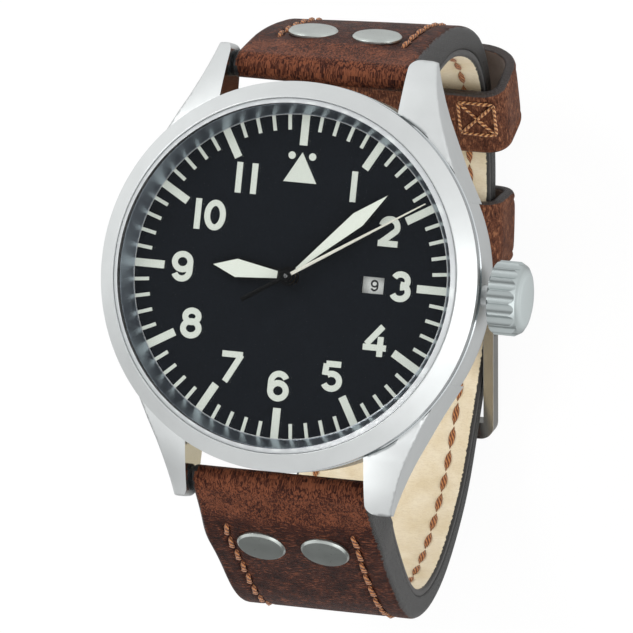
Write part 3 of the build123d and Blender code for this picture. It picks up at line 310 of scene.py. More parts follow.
def blastedSteel(name, matte, polished, grit, roughMatte=0.42, roughPolished=0.1):
    # Stainless steel 316L, bead blasted where "polish" is 0 and polished where it is 1:
    # blasting leaves a soft even sheen without streaks, polishing a clear reflection
    material, tree, shader, place = newMaterial(name, {"Metallic": 1.0})
    polish = addNode(tree, "ShaderNodeAttribute", {"attribute_name": "polish"})
    cloud = addNode(tree, "ShaderNodeTexNoise", {"Scale": 0.35, "Detail": 3.0}, {"Vector": place})
    tone = addNode(tree, "ShaderNodeValToRGB", {"stops": [
        (0.3, linear(matte, 0.95)), (0.7, linear(matte))]}, {"Fac": cloud})
    colour = addNode(tree, "ShaderNodeMix", {"data_type": "RGBA", 7: linear(polished)},
                     {0: (polish, "Fac"), 6: tone})
    rough = addNode(tree, "ShaderNodeMapRange", {"To Min": roughMatte, "To Max": roughPolished},
                    {"Value": (polish, "Fac")})
    # blasting grit is about 0.08 mm, drawn at the given size so that it shows in the render
    grain = addNode(tree, "ShaderNodeTexNoise", {"Scale": 1 / grit, "Detail": 2.0},
                    {"Vector": place})
    spread = addNode(tree, "ShaderNodeMath", {"operation": "MULTIPLY_ADD", 1: 0.05},
                     {0: grain, 2: rough})
    depth = addNode(tree, "ShaderNodeMapRange", {"To Min": 0.3, "To Max": 0.0},
                    {"Value": (polish, "Fac")})
    bump = addNode(tree, "ShaderNodeBump", {"Distance": 0.00002},
                   {"Height": grain, "Strength": depth})
    linkUp(tree, shader, {"Base Color": (colour, 2), "Roughness": spread, "Normal": bump})
    return material


def machinedMetal(name, colour, roughness, grain, stretch):
    # Plain machined or drawn metal: fine lines left by the tool, stretched one way, and a
    # slow change of tone. grain is the line spacing in millimetres
    material, tree, shader, place = newMaterial(name, {"Metallic": 1.0})
    along = addNode(tree, "ShaderNodeMapping", {"Scale": stretch}, {"Vector": place})
    lines = addNode(tree, "ShaderNodeTexNoise", {"Scale": 1 / grain, "Detail": 3.0},
                    {"Vector": along})
    cloud = addNode(tree, "ShaderNodeTexNoise", {"Scale": 0.5, "Detail": 2.0}, {"Vector": place})
    tone = addNode(tree, "ShaderNodeValToRGB", {"stops": [
        (0.3, linear(colour, 0.9)), (0.7, linear(colour))]}, {"Fac": cloud})
    rough = addNode(tree, "ShaderNodeMapRange",
                    {"To Min": roughness * 0.75, "To Max": roughness * 1.3}, {"Value": lines})
    bump = addNode(tree, "ShaderNodeBump", {"Distance": 0.00002, "Strength": 0.25},
                   {"Height": lines})
    linkUp(tree, shader, {"Base Color": tone, "Roughness": rough, "Normal": bump})
    return material


def paintedCoat(name, colour, light, roughness, grit, depth=0.3, gloss=0.5):
    # Lacquer or printed paint: a plain colour with a fine dry grain of the given size
    material, tree, shader, place = newMaterial(name, {"IOR": 1.5, "Specular IOR Level": gloss})
    grain = addNode(tree, "ShaderNodeTexNoise", {"Scale": 1 / grit, "Detail": 3.0},
                    {"Vector": place})
    tone = addNode(tree, "ShaderNodeValToRGB", {"stops": [
        (0.35, linear(colour)), (0.7, linear(light))]}, {"Fac": grain})
    rough = addNode(tree, "ShaderNodeMapRange",
                    {"To Min": roughness * 0.85, "To Max": roughness * 1.15}, {"Value": grain})
    bump = addNode(tree, "ShaderNodeBump", {"Distance": 0.00002, "Strength": depth},
                   {"Height": grain})
    linkUp(tree, shader, {"Base Color": tone, "Roughness": rough, "Normal": bump})
    return material


def sapphire(name, clearness, colour, roughness):
    # Synthetic sapphire, lapped and polished: clear, refracts more than glass (IOR 1.77).
    # Its bevel is left finely ground, so it glows white. Light for what lies under it
    # passes straight through, as it nearly does through a thin flat plate
    material, tree, shader, place = newMaterial(name, {
        "Base Color": linear(colour), "IOR": 1.77, "Transmission Weight": clearness,
        "Specular IOR Level": 0.3})
    smear = addNode(tree, "ShaderNodeTexNoise", {"Scale": 0.3, "Detail": 3.0}, {"Vector": place})
    rough = addNode(tree, "ShaderNodeMapRange", {"To Min": roughness, "To Max": roughness + 0.01},
                    {"Value": smear})
    path = addNode(tree, "ShaderNodeLightPath")
    straight = addNode(tree, "ShaderNodeMath", {"operation": "MAXIMUM"},
                       {0: (path, "Is Shadow Ray"), 1: (path, "Is Diffuse Ray")})
    clear = addNode(tree, "ShaderNodeBsdfTransparent", {"Color": (0.97, 0.98, 0.98, 1)})
    mix = addNode(tree, "ShaderNodeMixShader", {}, {0: straight, 1: shader, 2: clear})
    output = [n for n in tree.nodes if n.bl_idname == "ShaderNodeOutputMaterial"][0]
    linkUp(tree, shader, {"Roughness": rough})
    linkUp(tree, output, {"Surface": mix})
    return material


def burnishedEdge(tree, place, hide, paint, paintLight, reachLow, reachHigh):
    # the dyed edge: paint that reaches a ragged way in from the side, by "edgeShare"
    edge = addNode(tree, "ShaderNodeAttribute", {"attribute_name": "edgeShare"})
    ragged = addNode(tree, "ShaderNodeTexNoise", {"Scale": 1.9, "Detail": 5.0, "Roughness": 0.7},
                     {"Vector": place})
    reach = addNode(tree, "ShaderNodeMath", {"operation": "MULTIPLY_ADD", 1: 0.7},
                    {0: ragged, 2: (edge, "Fac")})
    painted = addNode(tree, "ShaderNodeMapRange", {"From Min": reachLow, "From Max": reachHigh},
                      {"Value": reach})
    tone = addNode(tree, "ShaderNodeValToRGB", {"stops": [
        (0.4, linear(paint)), (0.75, linear(paintLight))]}, {"Fac": ragged})
    return painted, addNode(tree, "ShaderNodeMix", {"data_type": "RGBA"},
                            {0: painted, 6: hide, 7: tone})


def strapLeather(name, dark, middle, light, paint, paintLight):
    # Vegetable-tanned calf, waxed by hand: a dark ground, fine wrinkles across the strap,
    # and streaks along it where it bends over the bar, with lighter wax on their ridges
    material, tree, shader, place = newMaterial(name, {"IOR": 1.48}, onMap=True)
    patch = addNode(tree, "ShaderNodeTexNoise", {"Scale": 0.4, "Detail": 4.0, "Roughness": 0.6},
                    {"Vector": place})
    crosswise = addNode(tree, "ShaderNodeMapping", {"Scale": (0.9, 3.0, 1)}, {"Vector": place})
    wrinkle = addNode(tree, "ShaderNodeTexNoise", {
        "Scale": 1.7, "Detail": 4.0, "Roughness": 0.62, "Distortion": 0.9}, {"Vector": crosswise})
    lengthwise = addNode(tree, "ShaderNodeMapping", {"Scale": (2.0, 1.2, 1)}, {"Vector": place})
    streak = addNode(tree, "ShaderNodeTexNoise", {
        "Scale": 2.3, "Detail": 4.0, "Roughness": 0.65, "Distortion": 1.2},
        {"Vector": lengthwise})
    bent = addNode(tree, "ShaderNodeAttribute", {"attribute_name": "bend"})
    grain = addNode(tree, "ShaderNodeMix", {"data_type": "FLOAT"},
                    {0: (bent, "Fac"), 2: wrinkle, 3: streak})
    pore = addNode(tree, "ShaderNodeTexNoise", {"Scale": 8.0, "Detail": 3.0, "Roughness": 0.7},
                   {"Vector": place})
    mottled = addNode(tree, "ShaderNodeMath", {"operation": "MULTIPLY_ADD", 1: 0.35},
                      {0: patch, 2: grain})
    speckled = addNode(tree, "ShaderNodeMath", {"operation": "MULTIPLY_ADD", 1: 0.3},
                       {0: pore, 2: mottled})
    lifted = addNode(tree, "ShaderNodeMath", {"operation": "MULTIPLY_ADD", 1: 0.1},
                     {0: (bent, "Fac"), 2: speckled})
    hide = addNode(tree, "ShaderNodeValToRGB", {"stops": [
        (0.68, linear(dark)), (0.88, linear(middle)), (1.06, linear(light))]}, {"Fac": lifted})
    painted, colour = burnishedEdge(tree, place, hide, paint, paintLight, 0.85, 0.93)
    rough = addNode(tree, "ShaderNodeMapRange", {"To Min": 0.4, "To Max": 0.62}, {"Value": pore})
    gloss = addNode(tree, "ShaderNodeMix", {3: 0.3}, {0: painted, 2: rough})
    shine = addNode(tree, "ShaderNodeMapRange", {"To Min": 0.15, "To Max": 0.6},
                    {"Value": painted})
    # relief: wrinkles about 0.4 mm apart and 0.15 deep, pores 0.15 mm across
    wrinkleBump = addNode(tree, "ShaderNodeBump", {"Distance": 0.0003, "Strength": 0.75},
                          {"Height": grain})
    depth = addNode(tree, "ShaderNodeMapRange", {"To Min": 0.5, "To Max": 0.08},
                    {"Value": painted})
    poreBump = addNode(tree, "ShaderNodeBump", {"Distance": 0.0001},
                       {"Height": pore, "Strength": depth, "Normal": wrinkleBump})
    linkUp(tree, shader, {"Base Color": (colour, 2), "Roughness": gloss,
                          "Specular IOR Level": shine, "Normal": poreBump})
    return material


def rawLining(name, shade, light, crease, paint, paintLight):
    # Undyed calf split: pale, dry and napped, with short fine creases where it bends, drawn as
    # darker lines of painted shade
    material, tree, shader, place = newMaterial(name, {
        "IOR": 1.45, "Specular IOR Level": 0.25, "Sheen Weight": 0.15, "Sheen Roughness": 0.6},
        onMap=True)
    nap = addNode(tree, "ShaderNodeTexNoise", {"Scale": 5.0, "Detail": 4.0, "Roughness": 0.7},
                  {"Vector": place})
    cloud = addNode(tree, "ShaderNodeTexNoise", {"Scale": 0.35, "Detail": 3.0}, {"Vector": place})
    tone = addNode(tree, "ShaderNodeMath", {"operation": "MULTIPLY_ADD", 1: 0.45},
                   {0: nap, 2: cloud})
    hide = addNode(tree, "ShaderNodeValToRGB", {"stops": [
        (0.5, linear(shade)), (0.9, linear(light))]}, {"Fac": tone})
    crosswise = addNode(tree, "ShaderNodeMapping", {"Scale": (0.6, 3.2, 1)}, {"Vector": place})
    folds = addNode(tree, "ShaderNodeTexNoise", {"Scale": 1.2, "Detail": 3.0, "Distortion": 0.5},
                    {"Vector": crosswise})
    line = addNode(tree, "ShaderNodeValToRGB", {"stops": [
        (0.455, (0, 0, 0, 1)), (0.5, (1, 1, 1, 1)), (0.545, (0, 0, 0, 1))]}, {"Fac": folds})
    bent = addNode(tree, "ShaderNodeAttribute", {"attribute_name": "bend"})
    drawn = addNode(tree, "ShaderNodeMapRange", {"To Min": 0.08, "To Max": 0.5},
                    {"Value": (bent, "Fac")})
    weight = addNode(tree, "ShaderNodeMath", {"operation": "MULTIPLY"}, {0: line, 1: drawn})
    # the crease lines take the darker crease colour: painted shade in the creases
    creaseShaded = addNode(tree, "ShaderNodeMix", {"data_type": "RGBA", 7: linear(crease)},
                      {0: weight, 6: hide})
    painted, colour = burnishedEdge(tree, place, (creaseShaded, 2), paint, paintLight, 1.05, 1.1)
    rough = addNode(tree, "ShaderNodeMapRange", {"To Min": 0.75, "To Max": 0.5},
                    {"Value": painted})
    napBump = addNode(tree, "ShaderNodeBump", {"Distance": 0.00006, "Strength": 0.5},
                      {"Height": nap})
    foldBump = addNode(tree, "ShaderNodeBump", {"Distance": 0.0001, "invert": True},
                       {"Height": line, "Strength": drawn, "Normal": napBump})
    linkUp(tree, shader, {"Base Color": (colour, 2), "Roughness": rough, "Normal": foldBump})
    return material


def waxedThread(name, dark, middle, light):
    # Waxed linen thread, spun from strands about 0.3 mm thick that wind round it
    material, tree, shader, place = newMaterial(name, {
        "IOR": 1.5, "Sheen Weight": 0.25, "Sheen Roughness": 0.5}, onMap=True)
    slanted = addNode(tree, "ShaderNodeMapping", {"Rotation": (0, 0, 0.7)}, {"Vector": place})
    strand = addNode(tree, "ShaderNodeTexWave", {"Scale": 0.8, "Distortion": 0.5,
                                                 "Detail": 2.0}, {"Vector": slanted})
    tone = addNode(tree, "ShaderNodeValToRGB", {"stops": [
        (0.1, linear(dark)), (0.5, linear(middle)), (0.95, linear(light))]}, {"Fac": strand})
    rough = addNode(tree, "ShaderNodeMapRange", {"To Min": 0.7, "To Max": 0.5},
                    {"Value": strand})
    bump = addNode(tree, "ShaderNodeBump", {"Distance": 0.00015, "Strength": 0.8},
                   {"Height": strand})
    linkUp(tree, shader, {"Base Color": tone, "Roughness": rough, "Normal": bump})
    return material


finish = {
    "caseSteel": blastedSteel("beadBlastedSteel", "#D8DBDB", "#B2B8BB", 0.16),
    # the crown's "polish" colour is lighter and rougher than its brushed side: a painted highlight
    # for its end face
    "crownSteel": blastedSteel("brushedCrownSteel", "#B4BCBC", "#CDD5D5", 0.14, 0.34, 0.5),
    "flangeSteel": blastedSteel("satinFlangeSteel", "#D5D8D8", "#AEB8C4", 0.14, 0.42, 0.3),
    "barSteel": machinedMetal("drawnSpringBarSteel", "#B8BBBC", 0.25, 0.1, (0.1, 1, 1)),
    "rubber": paintedCoat("mouldedNitrileRubber", "#1A1A1B", "#252526", 0.6, 0.12),
    "dial": paintedCoat("matteDialLacquer", "#14181D", "#1B1F25", 0.7, 0.12, 0.2, 0.04),
    "lume": paintedCoat("luminousPaint", "#DADFD4", "#E8EDE3", 0.7, 0.09, 0.5, 0.3),
    "handLume": paintedCoat("luminousHandPaint", "#E6ECDE", "#F6F9F0", 0.7, 0.09, 0.5, 0.3),
    "dateWhite": paintedCoat("printedDateWhite", "#E6E8E4", "#F2F3F0", 0.6, 0.1, 0.15),
    "dateBlack": paintedCoat("dateNumeralInk", "#121314", "#1D1E20", 0.5, 0.08, 0.15),
    "handBlack": paintedCoat("blackLacqueredBrass", "#060708", "#0D0E10", 0.5, 0.2, 0.1, 0.1),
    "handCream": paintedCoat("creamLacquer", "#E2DFD0", "#F0EDE0", 0.45, 0.15, 0.1),
    "nickel": machinedMetal("nickelPlatedBrass", "#C9CACA", 0.3, 0.5, (1, 0.08, 1)),
    "brass": machinedMetal("gildedBrass", "#D8B26A", 0.28, 0.2, (1, 1, 0.1)),
    "blueSteel": machinedMetal("blueTemperedSteel", "#2B3F8C", 0.22, 0.2, (1, 1, 0.2)),
    "springSteel": machinedMetal("rolledSpringSteel", "#A9AFB5", 0.3, 0.15, (0.2, 0.2, 1)),
    "tungsten": machinedMetal("sinteredTungsten", "#8C8F92", 0.35, 0.18, (1, 0.15, 1)),
    "rivet": machinedMetal("turnedRivetSteel", "#C0C6C2", 0.3, 0.3, (1, 1, 1)),
    "buckle": machinedMetal("satinBuckleSteel", "#AFAEA9", 0.24, 0.12, (1, 0.12, 1)),
    "crystal": sapphire("sapphireCrystal", 1.0, "#FFFFFF", 0.0),
    "bevel": sapphire("groundSapphireBevel", 0.35, "#E8ECEE", 0.2),
    "leather": strapLeather("waxedCalfLeather", "#190A07", "#3F1C12", "#8A5036", "#1C1B1A",
                            "#2A2A28"),
    "keeperLeather": strapLeather("waxedKeeperLeather", "#351A10", "#6A3F2C", "#A06C4C",
                                  "#241C1A", "#3A2A24"),
    "lining": rawLining("rawCalfLining", "#E8D6B2", "#F8EBD0", "#A88658", "#262423", "#3A3836"),
    "keeperInside": rawLining("keeperLining", "#5E4F41", "#77665A", "#3A3029", "#262423",
                              "#3A3836"),
    "thread": waxedThread("waxedLinenThread", "#5E3014", "#B0622F", "#CE8A4C"),
    "boxThread": waxedThread("boxStitchThread", "#6E3814", "#C4783A", "#EDB57A"),
}
print("materials made,", len(finish))

# The bezel: a sloped blasted face over a satin side, which ends in a fine lip
bezel = {"radius": 21.0, "bore": 19.1, "lowBore": 18.95, "low": 7.5, "edge": 9.34, "top": 11.2,
         "shelf": 10.08, "lip": 0.12, "lipTop": 7.74, "undercut": 0.05, "around": 360,
         "satin": 0.6, "satinRows": 33}
profile = roundedLine(
    [(bezel["lowBore"], bezel["low"]), (bezel["radius"], bezel["low"]),
     (bezel["radius"], bezel["lipTop"] - bezel["lip"]),
     (bezel["radius"] - bezel["lip"], bezel["lipTop"]),
     (bezel["radius"] - bezel["lip"] / 2, bezel["edge"] - bezel["undercut"]),
     (bezel["radius"], bezel["edge"]),
     (bezel["bore"], bezel["top"]), (bezel["bore"], bezel["shelf"]),
     (bezel["lowBore"], bezel["shelf"])],
    [0.02, 0.02, 0.03, 0.02, 0.01, 0.03, 0.1, 0.05, 0.01], 6)
polish = np.zeros(len(profile))
polish[:bezel["satinRows"]] = bezel["satin"]  # up to the sloped face's outer edge
bezelPiece = gridMesh("bezelRing", turnedGrid(profile, bezel["around"]), rowsShut=True,
                      values={"polish": polish[:, None]}, sharp=40)
flatShade(bezelPiece)
settle(bezelPiece, "case", [finish["caseSteel"]], ["bezel"])

# The crystal: a flat disc with a ground bevel
crystal = {"radius": 19.05, "low": 10.4, "top": 11.4, "bevel": 0.5, "around": 360,
           "bevelRows": (12, 17)}
corner = roundedLine(
    [(0.001, crystal["low"]), (crystal["radius"], crystal["low"]),
     (crystal["radius"], crystal["top"] - crystal["bevel"]),
     (crystal["radius"] - crystal["bevel"], crystal["top"]), (0.001, crystal["top"])],
    [0.0001, 0.05, 0.03, 0.03, 0.0001], 5)
corner[:, 0] = np.where(corner[:, 0] < 0.01, 0, corner[:, 0])
ground = np.zeros(len(corner) - 1)
ground[slice(*crystal["bevelRows"])] = 1
crystalPiece = gridMesh("sapphireDisc", turnedGrid(corner, crystal["around"]), rowsShut=False,
                        bands=ground[:, None], sharp=25)
flatShade(crystalPiece)
settle(crystalPiece, "case", [finish["crystal"], finish["bevel"]], ["crystal"])

# The flange ring: a satin cone that mirrors the dial softly, over a fine matte foot
flange = {"foot": 17.42, "cone": 17.5, "outer": 18.9, "top": 18.45, "low": 8.125, "step": 8.2,
          "high": 10.05, "around": 360, "coneRows": (3, 22)}
ringLine = roundedLine(
    [(flange["foot"], flange["low"]), (flange["outer"], flange["low"]),
     (flange["outer"], flange["high"]), (flange["top"], flange["high"]),
     (flange["cone"], flange["step"]), (flange["foot"], flange["step"])],
    [0.01, 0.01, 0.02, 0.03, 0.01, 0.01], 5)
coneShare = np.zeros(len(ringLine))
coneShare[slice(*flange["coneRows"])] = 1
flangePiece = gridMesh("flangeRing", turnedGrid(ringLine, flange["around"]), rowsShut=True,
                       values={"polish": coneShare[:, None]}, sharp=40)
flatShade(flangePiece)
settle(flangePiece, "case", [finish["flangeSteel"]], ["flange_ring"])

# The middle case keeps its CAD mesh, merged and evened out; the lugs' inner sides, which
# face along x between the lugs, are polished
middleCase = {"sharp": 28, "edge": 0.45, "rounds": 90, "facing": 0.95, "gapHalf": 10.3,
              "lugStart": 15}
casePiece = finerCopy("case_middle", middleCase["sharp"])
evenOut(casePiece, middleCase["sharp"], middleCase["edge"], middleCase["rounds"])
faceCount = len(casePiece.data.polygons)
facing, middle = np.zeros(faceCount * 3, np.float32), np.zeros(faceCount * 3, np.float32)
casePiece.data.polygons.foreach_get("normal", facing)
casePiece.data.polygons.foreach_get("center", middle)
facing, middle = facing.reshape(-1, 3), middle.reshape(-1, 3) / mm
lugSides = (np.abs(facing[:, 0]) > middleCase["facing"]) \
    & (np.abs(middle[:, 0]) < middleCase["gapHalf"]) \
    & (np.abs(middle[:, 1]) > middleCase["lugStart"])
shine = casePiece.data.attributes.new("polish", "FLOAT", "FACE")
shine.data.foreach_set("value", lugSides.astype(np.float32))
settle(casePiece, "case", [finish["caseSteel"]], ["case_middle"])

# The crown: seen along its axis each flute is an arc, so the radius at an angle is the
# distance to that arc, and never more than the turned outline has at that height
crown = {"radius": 4.0, "start": 22.1, "height": 5.6, "flutes": 18, "fluteRadius": 0.95,
         "land": 0.04, "around": 540, "bore": 1.35, "boreEnd": 23.2, "stemBore": 0.47,
         "stemEnd": 23.8, "highlightStart": 25.3, "highlightBlend": 0.3, "rows": 90,
         "outline": [(22.1, 3.72), (22.35, 4.0), (24.62, 4.0), (25.2, 3.62), (25.48, 3.15),
                     (25.64, 2.65), (25.7, 2.1)]}
turn = np.linspace(0, 2 * np.pi, crown["around"], endpoint=False)
half = math.pi / crown["flutes"]
chord = crown["radius"] * math.sin(half) - crown["land"]
reach = crown["radius"] * math.cos(half) + math.sqrt(crown["fluteRadius"] ** 2 - chord ** 2)
off = (turn % (2 * half)) - half
fluteLine = reach * np.cos(off) - np.sqrt(crown["fluteRadius"] ** 2 - (reach * np.sin(off)) ** 2)
outline = np.array(crown["outline"])
step = np.concatenate([[0], np.cumsum(np.hypot(*np.diff(outline, axis=0).T))])
dense = np.unique(np.concatenate([np.linspace(0, step[-1], crown["rows"]), step]))
outline = np.stack([np.interp(dense, step, outline[:, k]) for k in (0, 1)], -1)
outer = np.minimum(outline[:, 1, None], fluteLine[None, :])
hollow = np.array([(crown["stemEnd"], 0), (crown["stemEnd"], crown["stemBore"]),
                   (crown["boreEnd"], crown["stemBore"]), (crown["boreEnd"], crown["bore"]),
                   (crown["start"], crown["bore"])])
radius = np.concatenate([hollow[:, 1, None] + 0 * turn, outer, np.zeros((1, len(turn)))])
out = np.concatenate([hollow[:, 0], outline[:, 0], outline[-1:, 0]])
crownPoints = np.stack([out[:, None] + 0 * radius, radius * np.cos(turn),
                        crown["height"] + radius * np.sin(turn)], -1)
# the end face takes that lighter colour: a painted highlight on the crown's end
paintedHighlightEnd = np.clip((out - crown["highlightStart"]) / crown["highlightBlend"], 0, 1)
crownPiece = gridMesh("crownFluted", crownPoints, sharp=24, values={"polish": paintedHighlightEnd[:, None]})
settle(crownPiece, "crown", [finish["crownSteel"]], ["crown"])

# Seconds hand: its outline is a half width at each station on both sides of its middle
# line, closed on that line above and below, cream in front of the hub and black behind
seconds = {"angle": 58.0, "low": 9.65, "high": 9.8, "round": 0.04, "hub": 0.58, "hubHigh": 9.98,
           "hubGap": 0.02, "pin": 0.2, "pinHigh": 10.06, "pinRows": 19, "topShare": 0.8,
           "creamFrom": 0.5,
           "stations": [-5.6, -5.59, -5.0, -3.0, -1.0, -0.56, -0.5, -0.3, 0.0, 0.3, 0.5, 0.58,
                        0.9, 2.0, 4.0, 8.0, 12.0, 16.5, 17.18, 17.2],
           "halfWidths": [0, 0.24, 0.24, 0.23, 0.2, 0.2, 0.3, 0.49, 0.58, 0.49, 0.3, 0.18,
                          0.18, 0.175, 0.165, 0.14, 0.11, 0.07, 0.055, 0]}
place = np.array(seconds["stations"])
wide = np.array(seconds["halfWidths"])
loopAlong = np.concatenate([place, place[::-1]])
loopSide = np.concatenate([wide, -wide[::-1]])
handRows = []
for share, height in ((0, seconds["low"]), (1, seconds["low"]),
                      (1, seconds["high"] - seconds["round"]),
                      (seconds["topShare"], seconds["high"]),
                      (0, seconds["high"])):
    handRows.append(np.stack([loopAlong, loopSide * share, height + 0 * loopSide], -1))
handRows = np.stack(handRows)
aim = math.radians(90 - seconds["angle"])
handPoints = np.stack([handRows[..., 0] * math.cos(aim) - handRows[..., 1] * math.sin(aim),
                       handRows[..., 0] * math.sin(aim) + handRows[..., 1] * math.cos(aim),
                       handRows[..., 2]], -1)
cream = np.minimum(loopAlong, np.roll(loopAlong, -1)) > seconds["creamFrom"]
handPiece = gridMesh("secondsHandBlade", handPoints, bands=cream[None, :].astype(int), sharp=50)
hubLow = seconds["low"] + seconds["hubGap"]
hubLine = roundedLine([(0.001, hubLow), (seconds["hub"], hubLow),
                       (seconds["hub"], seconds["hubHigh"]), (seconds["pin"], seconds["hubHigh"]),
                       (seconds["pin"], seconds["pinHigh"]), (0.001, seconds["pinHigh"])],
                      [0.0001, 0.02, 0.08, 0.01, 0.05, 0.0001], 5)
hubLine[:, 0] = np.where(hubLine[:, 0] < 0.01, 0, hubLine[:, 0])
silver = (np.arange(len(hubLine) - 1) >= seconds["pinRows"]).astype(int)
hubPiece = gridMesh("secondsHubCap", turnedGrid(hubLine, 72), bands=silver[:, None], sharp=40)
settle(handPiece, "seconds", [finish["handBlack"], finish["handCream"]],
       ["seconds_hand"])
settle(hubPiece, "seconds", [finish["handBlack"], finish["barSteel"]])
print("case, crown and seconds hand made")

# Strap halves: the route's points are (y, z, thickness) from the spring bar outwards
shortStrap = {
    "route": [(22.5, 3.3, 3.0), (24.4, -4.0, 4.5), (26.0, -9.0, 4.0), (26.95, -13.0, 3.5),
              (27.3, -17.5, 3.3), (26.9, -22.0, 3.2), (25.4, -25.9, 3.1), (22.5, -29.2, 3.0),
              (16.6, -33.2, 2.9), (11.3, -35.4, 2.8), (5.0, -36.5, 2.6), (0.5, -36.7, 2.5),
              (-3.0, -36.7, 2.5)],
    "side": 1, "liningEnd": 1.5, "stitchEnd": 8, "tip": 0.0, "twist": 0.44, "bulge": 0.0,
    "leather": "short_strap_leather", "lining": "short_strap_lining", "slot": (-1.8, -6.5)}
longStrap = {
    "route": [(-22.5, 3.3, 3.0), (-26.8, -4.5, 4.7), (-30.2, -10.6, 4.3), (-32.8, -15.6, 3.8),
              (-33.9, -20.6, 3.3), (-32.8, -25.7, 3.1), (-29.8, -30.2, 3.0), (-25.6, -33.7, 2.9),
              (-20.0, -36.7, 2.8), (-14.3, -38.15, 2.6), (-9.0, -39.25, 2.5),
              (-3.0, -39.95, 2.5), (2.5, -39.8, 2.5), (5.5, -39.45, 2.4), (8.4, -39.0, 2.4)],
    "side": -1, "liningEnd": 0.3, "stitchEnd": 6, "tip": 6.5, "twist": 0.0, "bulge": 0.26,
    "leather": "long_strap_leather", "lining": "long_strap_lining", "slot": (-3.7, -12.6)}
strap = {"halfTop": 9.85, "halfLow": 9.6, "top": 3.3, "drop": 40.0, "liningStart": -5.2,
         "liningThick": 0.78, "overlap": 0.06, "stitchIn": 2.75, "grooveDepth": 0.3,
         "grooveHalf": 0.42, "edgeRound": 0.6, "innerRound": 0.25, "liningRound": 0.3,
         "liningEdge": 0.2, "faceIn": 3.6, "stitchStart": 7.0, "pitch": 2.75, "puff": 0.4,
         "puffAt": 8, "puffReach": 8, "puffIn": 3.2, "slotHalf": 1.25, "slotLow": -50,
         "slotHigh": -30, "bulgeAt": 8.5, "bulgeReach": 3.2, "tipShare": 0.42,
         "tipRest": 0.58, "rows": 260,
         "leanFrom": 5, "leanGrows": 9, "leanEnd": -31, "leanFades": 8, "leanHalf": 9.7,
         "dyeStart": 0.05, "dyeReach": 0.9, "dyeOutside": 0.7, "liningDye": 1.2,
         "barBend": 4.5, "barFade": 1.6, "innerBend": -9, "innerFade": 7, "plainBend": 0.12,
         "liningBlend": 0.7, "liningStitchStart": 2.5}


def strapLine(half, rows):
    # the half's middle line with its outward side, and the half width at each height
    line, run = smoothRoute(half["route"], rows)
    along = np.gradient(line[:, :2], axis=0)
    along /= np.linalg.norm(along, axis=1)[:, None]
    out = half["side"] * np.stack([-along[:, 1], along[:, 0]], -1)
    width = strap["halfTop"] + (strap["halfLow"] - strap["halfTop"]) * np.clip(
        (strap["top"] - line[:, 1]) / strap["drop"], 0, 1)
    width = width + half["bulge"] * np.exp(-((run - strap["bulgeAt"]) / strap["bulgeReach"]) ** 2)
    if half["tip"]:
        # the tip narrows to its share of the width along a blunt rounded outline
        past = np.clip((run - run[-1] + half["tip"]) / half["tip"], 0, 1)
        width = width * (strap["tipShare"]
                         + strap["tipRest"] * np.sqrt(1 - past ** 2.2 * 0.97))
    return line, run, along, out, width


def bandSection(outerRound, innerRound, reach):
    # Half of the cross-section, from the middle of the outer face round the side to the
    # middle of the inner face. share scales the width, inset is the distance from the edge,
    # drop and rise come off the outer and inner face, level goes from outer (1) to inner (0)
    face, near, corner, wall, back = 11, 26, 5, 3, 9  # points on each stretch
    turn = np.radians(np.linspace(90, 0, corner + 1))
    middle = np.linspace(0, 1, face + 1)[:-1]
    inside = corner + 1 + back + face
    share = np.concatenate([middle, np.ones(near + corner + wall + corner + 1 + back),
                            middle[::-1]])
    inset = np.concatenate([
        np.full(face, reach), np.linspace(reach, outerRound, near),
        outerRound * (1 - np.cos(turn[1:])), np.zeros(wall),
        innerRound * (1 - np.cos(turn[::-1])), np.linspace(innerRound, reach, back + 1)[1:],
        np.full(face, reach)])
    drop = np.concatenate([np.zeros(face + near), outerRound * (1 - np.sin(turn[1:])),
                           np.full(wall, outerRound), np.zeros(inside)])
    rise = np.concatenate([np.zeros(face + near + corner), np.full(wall, innerRound),
                           innerRound * (1 - np.sin(turn[::-1])), np.zeros(back + face)])
    level = np.concatenate([np.ones(face + near + corner), np.linspace(0.75, 0.25, wall),
                            np.zeros(inside)])
    return share, inset, drop, rise, level


def bandGrid(line, along, out, width, high, low, section):
    # The section carried along the line, with both ends rounded: past each end the faces
    # draw together as the square root of one minus the square of the way past it
    share, inset, drop, rise, level = section
    endRows = 9
    turn = np.radians(np.linspace(0, 90, endRows))
    firstHalf = (high[0] - low[0]) / 2
    lastHalf = (high[-1] - low[-1]) / 2
    centre = np.concatenate([
        line[0, :2] - along[0] * (np.sin(turn[::-1]) * firstHalf)[:, None], line[1:-1, :2],
        line[-1, :2] + along[-1] * (np.sin(turn) * lastHalf)[:, None]])
    thin = np.concatenate([np.cos(turn[::-1]), np.ones(len(line) - 2), np.cos(turn)])
    rows = np.clip(np.arange(len(centre)) - endRows + 1, 0, len(line) - 1)
    out2, width2, high2, low2 = out[rows], width[rows], high[rows], low[rows]
    middle = (high2 + low2) / 2
    x = share * (width2[:, None] - inset)
    height = level * (high2[:, None] - drop) + (1 - level) * (low2[:, None] + rise)
    height = middle[:, None] + (height - middle[:, None]) * thin[:, None]
    return centre, out2, x, height, width2


def wholeLoop(half):
    # mirrors a half section: the loop starts and ends at the middle of the inner face
    return np.concatenate([half[..., ::-1], half[..., 1:-1]], -1)


def twisted(points, half):
    # the band leans: one side stands out and the other in, most where it bends
    z = points[..., 2]
    lean = half["twist"] * np.clip((strap["top"] - z - strap["leanFrom"]) / strap["leanGrows"],
                                   0, 1) \
        * np.clip((z - strap["leanEnd"]) / strap["leanFades"], 0, 1)
    points[..., 1] += lean * points[..., 0] / strap["leanHalf"]
    return points


